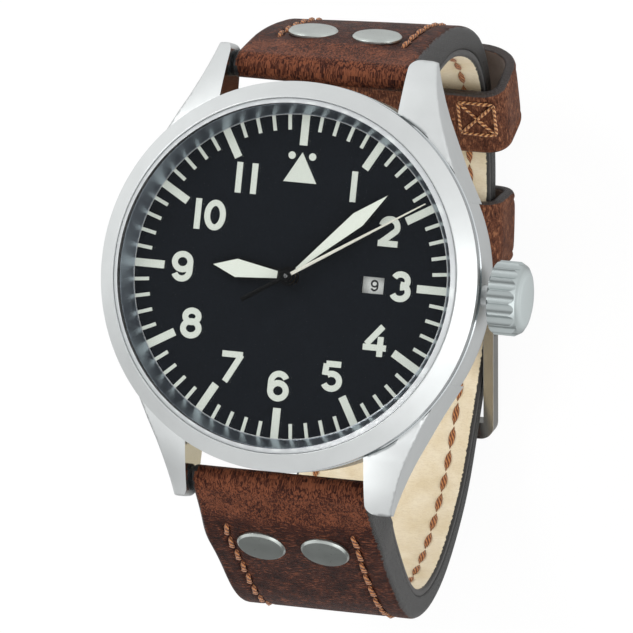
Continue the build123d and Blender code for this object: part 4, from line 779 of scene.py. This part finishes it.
def makeBand(name, half, line, along, out, width, high, low, section, groove):
    # A leather's whole skin: the section at each step of the line, mirrored to both sides,
    # with a flat map of it, its nearness to the edge and how sharply it bends
    share, inset, level = section[0], section[1], section[4]
    centre, out2, x, height, width2 = bandGrid(line, along, out, width, high, low, section)
    steps = np.concatenate([[0], np.cumsum(np.linalg.norm(np.diff(centre, axis=0), axis=1))])
    if groove:
        # a pressed groove under the stitches, and padding that fades away from the bar
        stitched = np.clip((steps - strap["stitchStart"] + 1) / 2, 0, 1)
        deep = np.exp(-((inset - strap["stitchIn"]) / strap["grooveHalf"]) ** 2)
        height = height - strap["grooveDepth"] * stitched[:, None] * deep * (level == 1)
        inner = np.clip(1 - (x / (width2[:, None] - strap["puffIn"])) ** 2, 0, 1)
        fade = np.exp(-((steps - strap["puffAt"]) / strap["puffReach"]) ** 2) \
            * np.clip(steps / 5, 0, 1)
        height = height + strap["puff"] * fade[:, None] * inner * (level == 1)
    plain = 40  # a row past the rounded end, along which the map's width is measured
    around = np.concatenate([[0], np.cumsum(np.hypot(np.diff(x[plain]),
                                                     np.diff(height[plain])))])
    flatX = np.concatenate([-around[::-1], around[1:]])
    sign = np.concatenate([-np.ones(len(share)), np.ones(len(share) - 2)])
    fullX = wholeLoop(x) * sign
    fullH = wholeLoop(height)
    points = np.stack([fullX, centre[:, 0, None] + out2[:, 0, None] * fullH,
                       centre[:, 1, None] + out2[:, 1, None] * fullH], -1)
    flat = np.stack(np.broadcast_arrays(flatX[None, :], steps[:, None]), -1)
    # dye reaches in from the edge, and covers the side of the lining; the leather bends
    # sharply over the bar, the lining where the loop comes down from the lugs
    edge = np.clip(1 - (inset - strap["dyeStart"]) / strap["dyeReach"], 0, 1)
    if groove:
        edge = edge * np.where(level == 1, strap["dyeOutside"], 1)
        bend = np.exp(-(np.maximum(steps - strap["barBend"], 0) / strap["barFade"]) ** 2)
    else:
        edge = np.where(level > 0, strap["liningDye"], edge)
        bend = strap["plainBend"] + (1 - strap["plainBend"]) \
            * np.exp(-((centre[:, 1] - strap["innerBend"]) / strap["innerFade"]) ** 2)
    return gridMesh(name, twisted(points, half), flat=flat, sharp=60, values={
        "edgeShare": wholeLoop(edge)[None, :], "bend": bend[:, None]})


def threadGrid(name, starts, ends, outs, thread):
    # Threads side by side, each from its start to its end: rings whose radius falls to a
    # thin tail at both ends, on a line that arches out of the leather and back into it,
    # swollen on two sides that turn along it as spun strands do
    share = np.linspace(-1, 1, thread.get("rings", 15))
    turn = np.linspace(0, 2 * np.pi, thread.get("sides", 8), endpoint=False)
    span = ends - starts
    length = np.linalg.norm(span, axis=1)
    along = span / length[:, None]
    across = np.cross(outs, along)
    thick = np.clip(1 - np.abs(share / thread["body"]) ** thread["taper"], 0, 1) ** 0.6
    thick = np.maximum(thread["radius"] * thick, thread["tail"])
    thick[[0, -1]] = 0
    twist = thread["twist"] * share[None, :] * length[:, None] / 2
    swell = 1 + thread["swell"] * np.cos(2 * turn + twist[..., None])
    arch = thread["arch"] * (1 - np.abs(share) ** 2.5) - thread["sink"]
    ring = thick[None, :, None] * swell
    middle = (starts + ends) / 2
    points = middle[:, None, None, :] \
        + along[:, None, None, :] * (share[None, :] * length[:, None] / 2)[..., None, None] \
        + outs[:, None, None, :] * (arch[None, :, None]
                                    + ring * np.cos(turn) * thread["flat"])[..., None] \
        + across[:, None, None, :] * (ring * np.sin(turn))[..., None]
    around = np.linspace(0, 2 * np.pi * thread["radius"], len(turn) + 1)
    reachAlong = share[None, :, None] * length[:, None, None] / 2
    flat = np.stack(np.broadcast_arrays(around[None, None, :], reachAlong), -1)
    return gridMesh(name, points, flat=flat, sharp=80)


ropeStitch = {"radius": 0.27, "tail": 0.0, "body": 1.0, "taper": 3.0, "twist": 4.0,
              "swell": 0.16, "arch": 0.3, "sink": 0.12, "flat": 0.9, "length": 2.55, "lean": 0.14,
              "inset": strap["stitchIn"]}
spindleStitch = {"radius": 0.4, "tail": 0.07, "body": 0.78, "taper": 1.5, "twist": 3.0,
                 "swell": 0.08, "arch": 0.08, "sink": 0.0, "flat": 0.34, "length": 2.7,
                 "lean": 0.05, "inset": 2.25}


def strapStitches(name, half, line, run, out, width, offset, face, start, stop, thread):
    # rows at both sides, at even pitch along the route; face is 1 outside and -1 inside
    at = np.arange(start, stop, strap["pitch"])
    pick = lambda a, t: np.stack([np.interp(t, run, a[:, k]) for k in range(a.shape[1])], -1)
    rows = []
    for sign in (-1, 1):
        ends = []
        for way in (-1, 1):
            t = at + way * thread["length"] / 2
            spot = pick(line[:, :2], t) + pick(out, t) * np.interp(t, run, offset)[:, None]
            x = sign * (np.interp(t, run, width) - thread["inset"]) \
                + thread["lean"] * way * sign
            ends.append(twisted(np.stack([x, spot[:, 0], spot[:, 1]], -1), half))
        side = pick(out, at)
        outs = face * np.stack([0 * at, side[:, 0], side[:, 1]], -1)
        outs /= np.linalg.norm(outs, axis=1)[:, None]
        rows.append(threadGrid(f"{name}Row{sign}", ends[0], ends[1], outs, thread))
    return joinPieces(name, rows)


def boxPiece(name, half, low, high):
    # a closed block from its corners, used only to cut the tongue's slot with
    x = np.array([-1, 1, 1, -1]) * half
    y = np.array([low, low, high, high])
    rows = [np.stack([x * s, y if s else y * 0 + (low + high) / 2, 0 * x + z], -1)
            for s, z in ((0, strap["slotLow"]), (1, strap["slotLow"]), (1, strap["slotHigh"]),
                         (0, strap["slotHigh"]))]
    return gridMesh(name, np.stack(rows))


for title, half in (("short", shortStrap), ("long", longStrap)):
    line, run, along, out, width = strapLine(half, strap["rows"])
    thick = line[:, 2]
    below = np.clip((strap["liningStart"] - line[:, 1]) / strap["liningBlend"], 0, 1)
    below = np.where(run > 4, np.maximum.accumulate(below), below)
    inner = -thick / 2 + (strap["liningThick"] - strap["overlap"]) * below
    leather = makeBand(f"{title}StrapLeather", half, line, along, out, width, thick / 2, inner,
                       bandSection(strap["edgeRound"], strap["innerRound"], strap["faceIn"]),
                       True)
    first = int(np.argmax(below > 0))
    last = int(np.searchsorted(run, run[-1] - half["liningEnd"]))
    cut = slice(first, last)
    lining = makeBand(f"{title}StrapLining", half, line[cut], along[cut], out[cut],
                      width[cut] - strap["overlap"], -thick[cut] / 2 + strap["liningThick"],
                      -thick[cut] / 2,
                      bandSection(strap["liningEdge"], strap["liningRound"], strap["faceIn"]),
                      False)
    for piece in (leather, lining):
        cutAway(piece, boxPiece("tongueSlot", strap["slotHalf"], *half["slot"][::-1]),
                title == "short")
    settle(leather, "case", [finish["leather"]], [half["leather"]])
    settle(lining, "case", [finish["lining"]], [half["lining"]])
    stop = run[-1] - half["stitchEnd"]
    outside = strapStitches(f"{title}StrapStitches", half, line, run, out, width,
                            thick / 2 - strap["grooveDepth"] * 0.6, 1, strap["stitchStart"],
                            stop, ropeStitch)
    inside = strapStitches(f"{title}LiningStitches", half, line, run, out, width,
                           -thick / 2, -1, run[first] + strap["liningStitchStart"], stop,
                           spindleStitch)
    for row in (outside, inside):
        settle(row, "case", [finish["thread"]])
print("strap made")

# Rivets: turned heads outside, washers inside
rivet = {"radius": 2.7, "head": 0.5, "low": 0.1, "wrist": 0.2, "spacing": 7.2, "post": 0.9,
         "washer": 1.7, "washerHigh": 0.3, "rim": 0.22, "dome": 0.02, "around": 96}
for title, half in (("short", shortStrap), ("long", longStrap)):
    route = np.array(half["route"])
    way = route[2, :2] - route[0, :2]
    way /= np.linalg.norm(way)
    out = half["side"] * np.array([-way[1], way[0]])
    low = route[1, 2] / 2 + rivet["low"]
    wrist = route[1, 2] / 2 + rivet["wrist"]
    high = low + rivet["head"]
    turned = roundedLine(
        [(0.001, high + rivet["dome"]), (rivet["radius"] - rivet["rim"], high),
         (rivet["radius"], high - rivet["rim"]), (rivet["radius"], low), (rivet["post"], low),
         (rivet["post"], -wrist), (rivet["washer"], -wrist),
         (rivet["washer"], -wrist - rivet["washerHigh"]), (0.001, -wrist - rivet["washerHigh"])],
        [0.0001, 0.12, 0.1, 0.04, 0.01, 0.01, 0.08, 0.1, 0.0001], 6)
    turned[:, 0] = np.where(turned[:, 0] < 0.01, 0, turned[:, 0])
    local = turnedGrid(turned, rivet["around"])
    spots = []
    for x in (-rivet["spacing"] / 2, rivet["spacing"] / 2):
        spots.append(np.stack([local[..., 0] + x,
                               route[1, 0] + way[0] * local[..., 1] + out[0] * local[..., 2],
                               route[1, 1] + way[1] * local[..., 1] + out[1] * local[..., 2]], -1))
    piece = gridMesh(f"{title}StrapRivetPair", np.stack(spots), sharp=30)
    flatShade(piece)
    settle(piece, "case", [finish["rivet"]], [f"{title}_strap_rivets"])
print("rivets made")

# Keepers: a soft band carried round a rounded rectangle. The loose one stands off the
# strap at its crown side, and its end is sewn down with a box and a cross.
keeper = {"thick": 1.1, "length": 8.0, "corner": 2.4, "gap": 0.45, "rows": 220,
          "columns": 120, "round": 0.35, "rim": 0.07, "rimAt": 3.4, "rimWide": 0.25,
          "crease": 0.09, "creaseAt": 2.95, "creaseWide": 0.2, "dyed": 0.55, "dyeShare": 0.85,
          "stretchFrom": 4, "stretchOver": 6}
freeKeeper = {"name": "freeKeeperLoop", "node": "free_keeper", "body": "keeper",
              "place": (21.195, -29.9), "nearest": 7, "strap": 3.0, "room": 3.3,
              "awayCorner": 4.2, "stretch": 0.85, "puff": 0.1, "insideHalf": 10.2,
              "slack": 0.25}
fixedKeeper = {"name": "fixedKeeperLoop", "node": "fixed_keeper", "body": "case",
               "place": (7.605, -36.1), "nearest": 9, "strap": 2.8, "room": 2.85,
               "awayCorner": 2.4, "stretch": 0.0, "puff": 0.25, "insideHalf": 9.85,
               "slack": 0.0}
boxStitch = {"x": 9.25, "along": -0.85, "wide": 4.1, "tall": 4.2, "radius": 0.18, "tail": 0.0,
             "body": 1.0, "taper": 6.0, "twist": 2.2, "swell": 0.2, "arch": 0.05, "sink": -0.08,
             "flat": 0.9, "rings": 31, "crossing": 0.14}


def makeKeeper(settings):
    # the rounded rectangle lies square to the strap's line at the keeper's place, and at
    # each of its points the section of the band stands across it
    route = np.array(shortStrap["route"])[:, :2]
    way = route[settings["nearest"] + 1] - route[settings["nearest"] - 1]
    way /= np.linalg.norm(way)
    up = np.array([-way[1], way[0]])  # towards the wrist or away from it
    away = -1 if up[1] > 0 else 1
    halfWide = settings["insideHalf"] + keeper["thick"] / 2
    insideHigh = settings["strap"] + keeper["gap"] * 2 + settings["room"] + settings["slack"]
    halfHigh = insideHigh / 2 + keeper["thick"] / 2
    near, far = keeper["corner"], settings["awayCorner"]
    radii = np.array([near, near, far, far] if away > 0 else [far, far, near, near])
    box = np.array([(-1, -1), (1, -1), (1, 1), (-1, 1)]) * [halfWide, halfHigh]
    loop = roundedLine(box, radii - keeper["thick"] / 2, 10)
    dense = np.concatenate([loop, loop[:1]])
    step = np.concatenate([[0], np.cumsum(np.linalg.norm(np.diff(dense, axis=0), axis=1))])
    even = np.linspace(0, step[-1], keeper["rows"], endpoint=False)
    path = np.stack([np.interp(even, step, dense[:, k]) for k in (0, 1)], -1)
    # the loose keeper stands off at its crown side, more towards its end
    path[:, 0] += settings["stretch"] * np.clip(
        (path[:, 0] - keeper["stretchFrom"]) / keeper["stretchOver"], 0, 1) ** 1.5
    tangent = np.roll(path, -1, 0) - np.roll(path, 1, 0)
    tangent /= np.linalg.norm(tangent, axis=1)[:, None]
    normal = np.stack([tangent[:, 1], -tangent[:, 0]], -1)
    corners = np.array([(-1, -1), (0, -1), (1, -1), (1, 1), (0, 1), (-1, 1)]) \
        * [keeper["length"] / 2, keeper["thick"] / 2]
    corners[1, 1] -= 0.01
    corners[4, 1] += 0.01
    radius = keeper["round"]
    section = roundedLine(corners, [radius, 0.001, radius, radius, 0.001, radius], 6)
    share = np.linspace(0, 1, keeper["columns"] + 1)[:-1]
    closed = np.concatenate([section, section[:1]])
    girth = np.concatenate([[0], np.cumsum(np.linalg.norm(np.diff(closed, axis=0), axis=1))])
    section = np.stack([np.interp(share * girth[-1], girth, closed[:, k]) for k in (0, 1)], -1)
    across, lift = section[:, 0], section[:, 1]
    crowned = 1 - (across / keeper["length"] * 2) ** 4
    puffed = lift + settings["puff"] * crowned * (lift > 0)
    # a rolled rim along both outer edges, and a shallow crease inside it
    rim = np.exp(-((np.abs(across) - keeper["rimAt"]) / keeper["rimWide"]) ** 2)
    crease = np.exp(-((np.abs(across) - keeper["creaseAt"]) / keeper["creaseWide"]) ** 2)
    puffed = puffed + keeper["rim"] * rim * (lift > 0) - keeper["crease"] * crease * (lift > 0)
    shift = (settings["room"] - settings["slack"]) / 2 * away
    x = path[:, 0, None] + normal[:, 0, None] * puffed
    v = path[:, 1, None] + normal[:, 1, None] * puffed + shift
    s = across[None, :] + 0 * v
    cy, cz = settings["place"]
    points = np.stack([x, cy + up[0] * v + way[0] * s, cz + up[1] * v + way[1] * s], -1)
    around = share * girth[-1]
    flat = np.stack(np.broadcast_arrays(np.append(around, girth[-1])[None, :],
                                        np.append(even, step[-1])[:, None]), -1)
    edge = keeper["dyeShare"] * np.clip(
        (np.abs(across) - keeper["length"] / 2 + keeper["dyed"]) / 0.5, 0, 1)
    inside = (lift < -keeper["thick"] / 2 + 0.02).astype(int)
    piece = gridMesh(settings["name"], points, rowsShut=True, flat=flat, sharp=60, bands=inside,
                     values={"edgeShare": edge[None, :], "bend": strap["plainBend"]})
    settle(piece, settings["body"],
           [finish["keeperLeather"], finish["keeperInside"]], [settings["node"]])
    return up, way, halfHigh, shift, away


up, way, halfHigh, shift, away = makeKeeper(freeKeeper)
makeKeeper(fixedKeeper)
face = -away * (halfHigh + keeper["thick"] / 2) + shift
low, high = boxStitch["along"] - boxStitch["tall"] / 2, boxStitch["along"] + boxStitch["tall"] / 2
left, right = boxStitch["x"] - boxStitch["wide"] / 2, boxStitch["x"] + boxStitch["wide"] / 2
runs = np.array([(left, low, right, low), (right, low, right, high), (right, high, left, high),
                 (left, high, left, low), (left, low, right, high), (left, high, right, low)])
cy, cz = freeKeeper["place"]
lifted = face - away * np.array([0, 0, 0, 0, 0, boxStitch["crossing"]])  # one lies over one
seam = [np.stack([runs[:, k], cy + up[0] * lifted + way[0] * runs[:, k + 1],
                  cz + up[1] * lifted + way[1] * runs[:, k + 1]], -1) for k in (0, 2)]
outs = np.broadcast_to(-away * np.array([0, up[0], up[1]]), (6, 3))
boxSeam = threadGrid("keeperBoxStitch", seam[0], seam[1], outs, boxStitch)
settle(boxSeam, "keeper", [finish["boxThread"]])
print("keepers made")

# Numerals: flat-ended strokes of one width, raised a little from the dial
digit = {"across": 0.87, "up": 1.32,  # half a digit's middle line
         "roundHigh": 0.35, "roundIn": 0.04}  # its soft edge, as shares of height and width


def arc(x, y, across, up, start, end, steps=24):
    # points on an ellipse between two angles in degrees
    turn = np.radians(np.linspace(start, end, steps))
    return np.stack([x + across * np.cos(turn), y + up * np.sin(turn)], -1)


def corners(*points):
    # points joined by straight runs
    return np.array(points, float)


def strokeMesh(name, line, shut, size, stroke, low, high, place, turn):
    # a ribbon of one width: the line moved half a stroke to each side, at two heights
    line = line * size
    if shut:
        line = line[:-1]
        way = np.roll(line, -1, 0) - np.roll(line, 1, 0)
    else:
        way = np.gradient(line, axis=0)
    way /= np.linalg.norm(way, axis=1)[:, None]
    side = np.stack([-way[:, 1], way[:, 0]], -1) * stroke / 2
    left, right = line + side, line - side
    spin = np.array([[math.cos(turn), -math.sin(turn)], [math.sin(turn), math.cos(turn)]])
    left, right = left @ spin.T + place, right @ spin.T + place
    tall = lambda flat, z: np.concatenate([flat, np.full((len(flat), 1), z)], 1)
    soft, inset = (high - low) * digit["roundHigh"], digit["roundIn"]
    inL, inR = left + (right - left) * inset, right + (left - right) * inset
    ring = np.stack([tall(left, low), tall(left, high - soft), tall(inL, high), tall(inR, high),
                     tall(right, high - soft), tall(right, low)], 1)
    if not shut:
        # both ends are closed by drawing the last ring together on its own middle line
        middle = lambda row: np.stack([(row[k] + row[5 - k]) / 2 for k in (0, 1, 2, 2, 1, 0)])
        ring = np.concatenate([middle(ring[0])[None], ring, middle(ring[-1])[None]])
    return gridMesh(name, ring, rowsShut=shut, sharp=30)


wide, tallest = digit["across"], digit["up"]
sixLoop = arc(0, -0.5, 0.87, 0.82, 0, 360, 40)
sixHook = np.concatenate([arc(0, 0.44, 0.87, 0.88, 25, 180, 24), corners((-0.87, -0.5))])
strokes = {
    "0": [(arc(0, 0, wide, tallest, 0, 360, 48), True)],
    "1": [(corners((0, -1.65), (0, 1.65)), False)],
    "2": [(np.concatenate([arc(0, tallest - 0.85, wide, 0.85, 170, -25, 24),
                           corners((-0.84, -tallest + 0.06))]), False),
          (corners((-1.15, -tallest), (1.05, -tallest)), False)],
    "3": [(arc(-0.02, 0.62, 0.78, 0.70, 155, -90, 28), False),
          (arc(0, -0.55, 0.87, 0.77, 90, -155, 28), False)],
    "4": [(corners((0.76, 1.63), (-0.93, -0.38)), False),
          (corners((-1.29, -0.70), (1.29, -0.70)), False),
          (corners((0.61, 0.5), (0.61, -1.65)), False)],
    "5": [(corners((-0.75, tallest), (0.9, tallest)), False),
          (corners((-0.72, tallest), (-0.80, 0.1)), False),
          (arc(-0.02, -0.52, 0.87, 0.80, 125, -155, 32), False)],
    "6": [(sixLoop, True), (sixHook, False)],
    "7": [(corners((-1.15, tallest), (1.15, tallest)), False),
          (corners((1.0, tallest), (-0.6, -1.65)), False)],
    "8": [(arc(0, 0.72, 0.74, 0.62, 0, 360, 36), True),
          (arc(0, -0.57, 0.87, 0.76, 0, 360, 40), True)],
    "9": [(-sixLoop, True), (-sixHook, False)],
}
numerals = {"stroke": 0.67, "low": 8.08, "high": 8.16, "crossing": 0.004, "places": [
    ("1", 6.04, 10.24), ("2", 10.46, 5.84), ("3", 12.3, 0.07), ("4", 10.1, -5.98),
    ("5", 5.73, -10.2), ("6", -0.1, -11.8), ("7", -5.54, -10.2), ("8", -10.5, -5.98),
    ("9", -12.15, 0), ("1", -11.0, 5.81), ("0", -9.06, 5.81), ("1", -6.82, 10.1),
    ("1", -5.11, 10.1)]}
made = []
for index, (name, x, y) in enumerate(numerals["places"]):
    for layer, (line, shut) in enumerate(strokes[name]):
        made.append(strokeMesh(f"numeral{index}_{layer}", line, shut, 1, numerals["stroke"],
                               numerals["low"], numerals["high"] + layer * numerals["crossing"],
                               np.array([x, y]), 0))
settle(joinPieces("dialNumerals", made), "case", [finish["lume"]])

dateRing = {"top": 7.45, "radius": 9.24, "y": -0.07, "size": 1.3 / 3.3, "stroke": 0.2,
            "apart": 1.02, "shown": 9, "count": 31, "sink": 0.01, "raise": 0.015,
            "crossing": 0.002}
made = []
for number in range(1, dateRing["count"] + 1):
    angle = (number - dateRing["shown"]) * 2 * math.pi / dateRing["count"]
    for index, name in enumerate(str(number)):
        shift = (index - (len(str(number)) - 1) / 2) * dateRing["apart"]
        x = dateRing["radius"] + shift
        place = np.array([x * math.cos(angle) - dateRing["y"] * math.sin(angle),
                          x * math.sin(angle) + dateRing["y"] * math.cos(angle)])
        for layer, (line, shut) in enumerate(strokes[name]):
            thin = np.concatenate([line[::3], line[-1:]]) if shut else line
            made.append(strokeMesh(f"date{number}_{index}_{layer}", thin, shut, dateRing["size"],
                                   dateRing["stroke"], dateRing["top"] - dateRing["sink"],
                                   dateRing["top"] + dateRing["raise"]
                                   + layer * dateRing["crossing"], place, angle))
settle(joinPieces("dateNumerals", made), "date", [finish["dateBlack"]])
print("numerals made")

# Buckle and tongue keep their CAD shape with softer edges
buckle = {"sharp": 35, "rounding": {"buckle_frame": ("buckle", 0.4),
                                    "buckle_tongue": ("tongue", 0.3)}}
for member, (body, rounding) in buckle["rounding"].items():
    settle(finerCopy(member, buckle["sharp"], rounding), body,
           [finish["buckle"]], [member])
print("buckle made")

# Finishes of the CAD nodes that stay as they are
nodeFinish = {
    "caseSteel": ["case_back", "crown_tube"],
    "barSteel": ["spring_bar_12", "spring_bar_6", "pin_12_crown_side", "pin_12_far_side",
                 "pin_6_crown_side", "pin_6_far_side", "winding_stem", "clutch_wheel"],
    "rubber": ["crystal_gasket", "case_back_gasket", "crown_gasket"],
    "dial": ["dial"],
    "lume": ["minute_track"],
    "handLume": ["hour_hand_insert", "minute_hand_insert"],
    "dateWhite": ["date_ring"],
    "handBlack": ["hour_hand", "minute_hand"],
    "nickel": ["movement_holder", "mainplate", "barrel_bridge", "train_bridge", "balance_cock",
               "rotor_plate"],
    "brass": ["centre_wheel", "third_wheel", "seconds_wheel", "cannon_pinion", "minute_wheel",
              "hour_wheel", "mainspring_barrel", "balance_wheel"],
    "blueSteel": ["hairspring", "ratchet_wheel"],
    "springSteel": ["mainspring", "barrel_arbor", "escape_wheel", "pallet_fork",
                    "rotor_bearing"],
    "tungsten": ["rotor_weight"],
    "buckle": ["buckle_bar"],
}
for title, members in nodeFinish.items():
    for member in members:
        nodes[member].data.materials.clear()
        nodes[member].data.materials.append(finish[title])
dressed = sum(nodeFinish.values(), [])
print("nodes that new pieces stand for:", sorted(set(nodes) - set(dressed)))

# Stage: white paper under the watch that keeps its shadow
stage = {"floor": -42.6, "half": 700, "paper": 0.84, "cameraGlow": 0.9, "paintedShadowGrey": 0.3,
         "farGrey": 0.95, "near": 40, "far": 85, "glow": 1.03, "paintedBandGrey": 0.14,
         "frontAt": 0.115, "frontHalf": (0.04, 0.06)}
floorPoints = np.array([[(-1, -1), (1, -1)], [(-1, 1), (1, 1)]], float) * stage["half"]
floorGrid = np.concatenate([floorPoints, np.full((2, 2, 1), stage["floor"])], -1)
floor = gridMesh("studioFloor", floorGrid, columnsShut=False)
paper = bpy.data.materials.new("studioPaper")
paper.use_nodes = True
tree = paper.node_tree
tree.nodes.clear()
path = addNode(tree, "ShaderNodeLightPath")
seen = addNode(tree, "ShaderNodeMath", {"operation": "MAXIMUM"},
               {0: (path, "Is Camera Ray"), 1: (path, "Is Transmission Ray")})
matte = addNode(tree, "ShaderNodeBsdfDiffuse", {"Color": [stage["paper"]] * 3 + [1]})
glow = addNode(tree, "ShaderNodeEmission", {"Color": (1, 1, 1, 1), "Strength": stage["glow"]})
white = addNode(tree, "ShaderNodeMixShader", {0: stage["cameraGlow"]}, {1: matte, 2: glow})
spot = addNode(tree, "ShaderNodeTexCoord")
away = addNode(tree, "ShaderNodeVectorMath", {"operation": "LENGTH"}, {0: (spot, "Object")})
# polished metal sees the floor greyer near the watch than far from it: a painted shadow of the
# watch, seen only in reflections
spread = addNode(tree, "ShaderNodeMapRange", {
    "From Min": stage["near"] * mm, "From Max": stage["far"] * mm, "To Min": stage["paintedShadowGrey"],
    "To Max": stage["farGrey"]}, {"Value": (away, "Value")})
# a dark band painted across the floor in front of the watch, seen only by polished metal that
# leans to the front: a painted dark reflection
placed = addNode(tree, "ShaderNodeSeparateXYZ", {}, {0: (spot, "Object")})
fromBand = addNode(tree, "ShaderNodeMath", {"operation": "ADD", 1: stage["frontAt"]},
                   {0: (placed, "Y")})
offBand = addNode(tree, "ShaderNodeMath", {"operation": "ABSOLUTE"}, {0: fromBand})
front = addNode(tree, "ShaderNodeMapRange", {
    "From Min": stage["frontHalf"][0], "From Max": stage["frontHalf"][1],
    "To Min": stage["paintedBandGrey"]}, {"Value": offBand})
paintedReflectionShade = addNode(tree, "ShaderNodeMath", {"operation": "MULTIPLY"}, {0: spread, 1: front})
mirrored = addNode(tree, "ShaderNodeEmission", {"Color": (1, 1, 1, 1)}, {"Strength": paintedReflectionShade})
shown = addNode(tree, "ShaderNodeMixShader", {}, {0: seen, 1: matte, 2: white})
polished = addNode(tree, "ShaderNodeMixShader", {},
                   {0: (path, "Is Glossy Ray"), 1: shown, 2: mirrored})
addNode(tree, "ShaderNodeOutputMaterial", {}, {"Surface": polished})
floor.data.materials.append(paper)

# The studio as polished metal sees it: pale walls, brighter to both sides, and the dark
# card round the lens that keeps the crystal and the dial free of a reflection
studio = {"ambient": 0.85, "walls": 0.87, "sides": 0.42, "card": (-0.275, 0.01, 0.961),
          "cardOuter": 24, "cardInner": 13, "cardGlow": 0.04}
world = bpy.data.worlds.new("softStudio")
world.use_nodes = True
bpy.context.scene.world = world
tree = world.node_tree
tree.nodes.clear()
direction = addNode(tree, "ShaderNodeTexCoord")
parts = addNode(tree, "ShaderNodeSeparateXYZ", {}, {0: (direction, "Generated")})
sideways = addNode(tree, "ShaderNodeMath", {"operation": "MULTIPLY"},
                   {0: (parts, "X"), 1: (parts, "X")})
brightness = addNode(tree, "ShaderNodeMath", {
    "operation": "MULTIPLY_ADD", 1: studio["sides"], 2: studio["walls"]}, {0: sideways})
toCard = addNode(tree, "ShaderNodeVectorMath", {"operation": "DOT_PRODUCT", 1: studio["card"]},
                 {0: (direction, "Generated")})
onCard = addNode(tree, "ShaderNodeMapRange", {
    "From Min": math.cos(math.radians(studio["cardOuter"])),
    "From Max": math.cos(math.radians(studio["cardInner"]))}, {"Value": (toCard, "Value")})
mirrored = addNode(tree, "ShaderNodeMix", {3: studio["cardGlow"]}, {0: onCard, 2: brightness})
path = addNode(tree, "ShaderNodeLightPath")
room = addNode(tree, "ShaderNodeBackground", {"Color": (1, 1, 1, 1),
                                              "Strength": studio["ambient"]})
mirror = addNode(tree, "ShaderNodeBackground", {"Color": (1, 1, 1, 1)}, {"Strength": mirrored})
bright = addNode(tree, "ShaderNodeBackground", {"Color": (1, 1, 1, 1), "Strength": 1.0})
# a ray that leaves upwards through the crystal was mirrored by it or by what lies under it
sharp = addNode(tree, "ShaderNodeMath", {"operation": "MAXIMUM"},
                {0: (path, "Is Glossy Ray"), 1: (path, "Is Transmission Ray")})
under = addNode(tree, "ShaderNodeMath", {"operation": "LESS_THAN", 1: 0.0}, {0: (parts, "Z")})
seen = addNode(tree, "ShaderNodeMath", {"operation": "MAXIMUM"},
               {0: (path, "Is Camera Ray"), 1: under})
mixA = addNode(tree, "ShaderNodeMixShader", {}, {0: sharp, 1: room, 2: mirror})
mixB = addNode(tree, "ShaderNodeMixShader", {}, {0: seen, 1: mixA, 2: bright})
addNode(tree, "ShaderNodeOutputWorld", {}, {"Surface": mixB})


def addLamp(name, place, size, power):
    # a soft square lamp at its place, in metres, that looks at the middle of the watch
    lamp = bpy.data.lights.new(name, "AREA")
    lamp.size = size
    lamp.energy = power
    holder = bpy.data.objects.new(name, lamp)
    bpy.context.scene.collection.objects.link(holder)
    spot = np.array(place, float)
    back = spot / np.linalg.norm(spot)
    right = np.cross([0, 1, 0.01], back)
    right /= np.linalg.norm(right)
    up = np.cross(back, right)
    holder.matrix_world = Matrix([(*[float(v) for v in row], float(p))
                                  for row, p in zip(np.stack([right, up, back], 1), spot)]
                                 + [(0, 0, 0, 1)])


lamps = {"keyLamp": ((-0.75, 0.6, 0.75), 0.45, 4.1), "fillLamp": ((0.75, -0.5, 0.6), 0.6, 1.4),
         "rightSoftbox": ((1.0, 0.0, 0.35), 0.5, 1.6)}
for title, (place, size, power) in lamps.items():
    addLamp(title, place, size, power)

# The camera stands where the dial's circles in the photograph put it
view = {"lens": 695, "sensor": 36, "clip": (0.05, 20)}
lens = bpy.data.cameras.new("photoCamera")
lens.lens, lens.sensor_width = view["lens"], view["sensor"]
lens.clip_start, lens.clip_end = view["clip"]
camera = bpy.data.objects.new("photoCamera", lens)
bpy.context.scene.collection.objects.link(camera)
camera.matrix_world = Matrix((
    (0.95688686, -0.09370543, 0.2749306, 0.363317),
    (0.10025852, 0.99491269, -0.00984733, -0.016865),
    (-0.27260919, 0.03698692, 0.96141365, 1.267349),
    (0, 0, 0, 1)))
bpy.context.scene.camera = camera
bpy.context.scene.view_settings.view_transform = "Standard"
print("stage made")
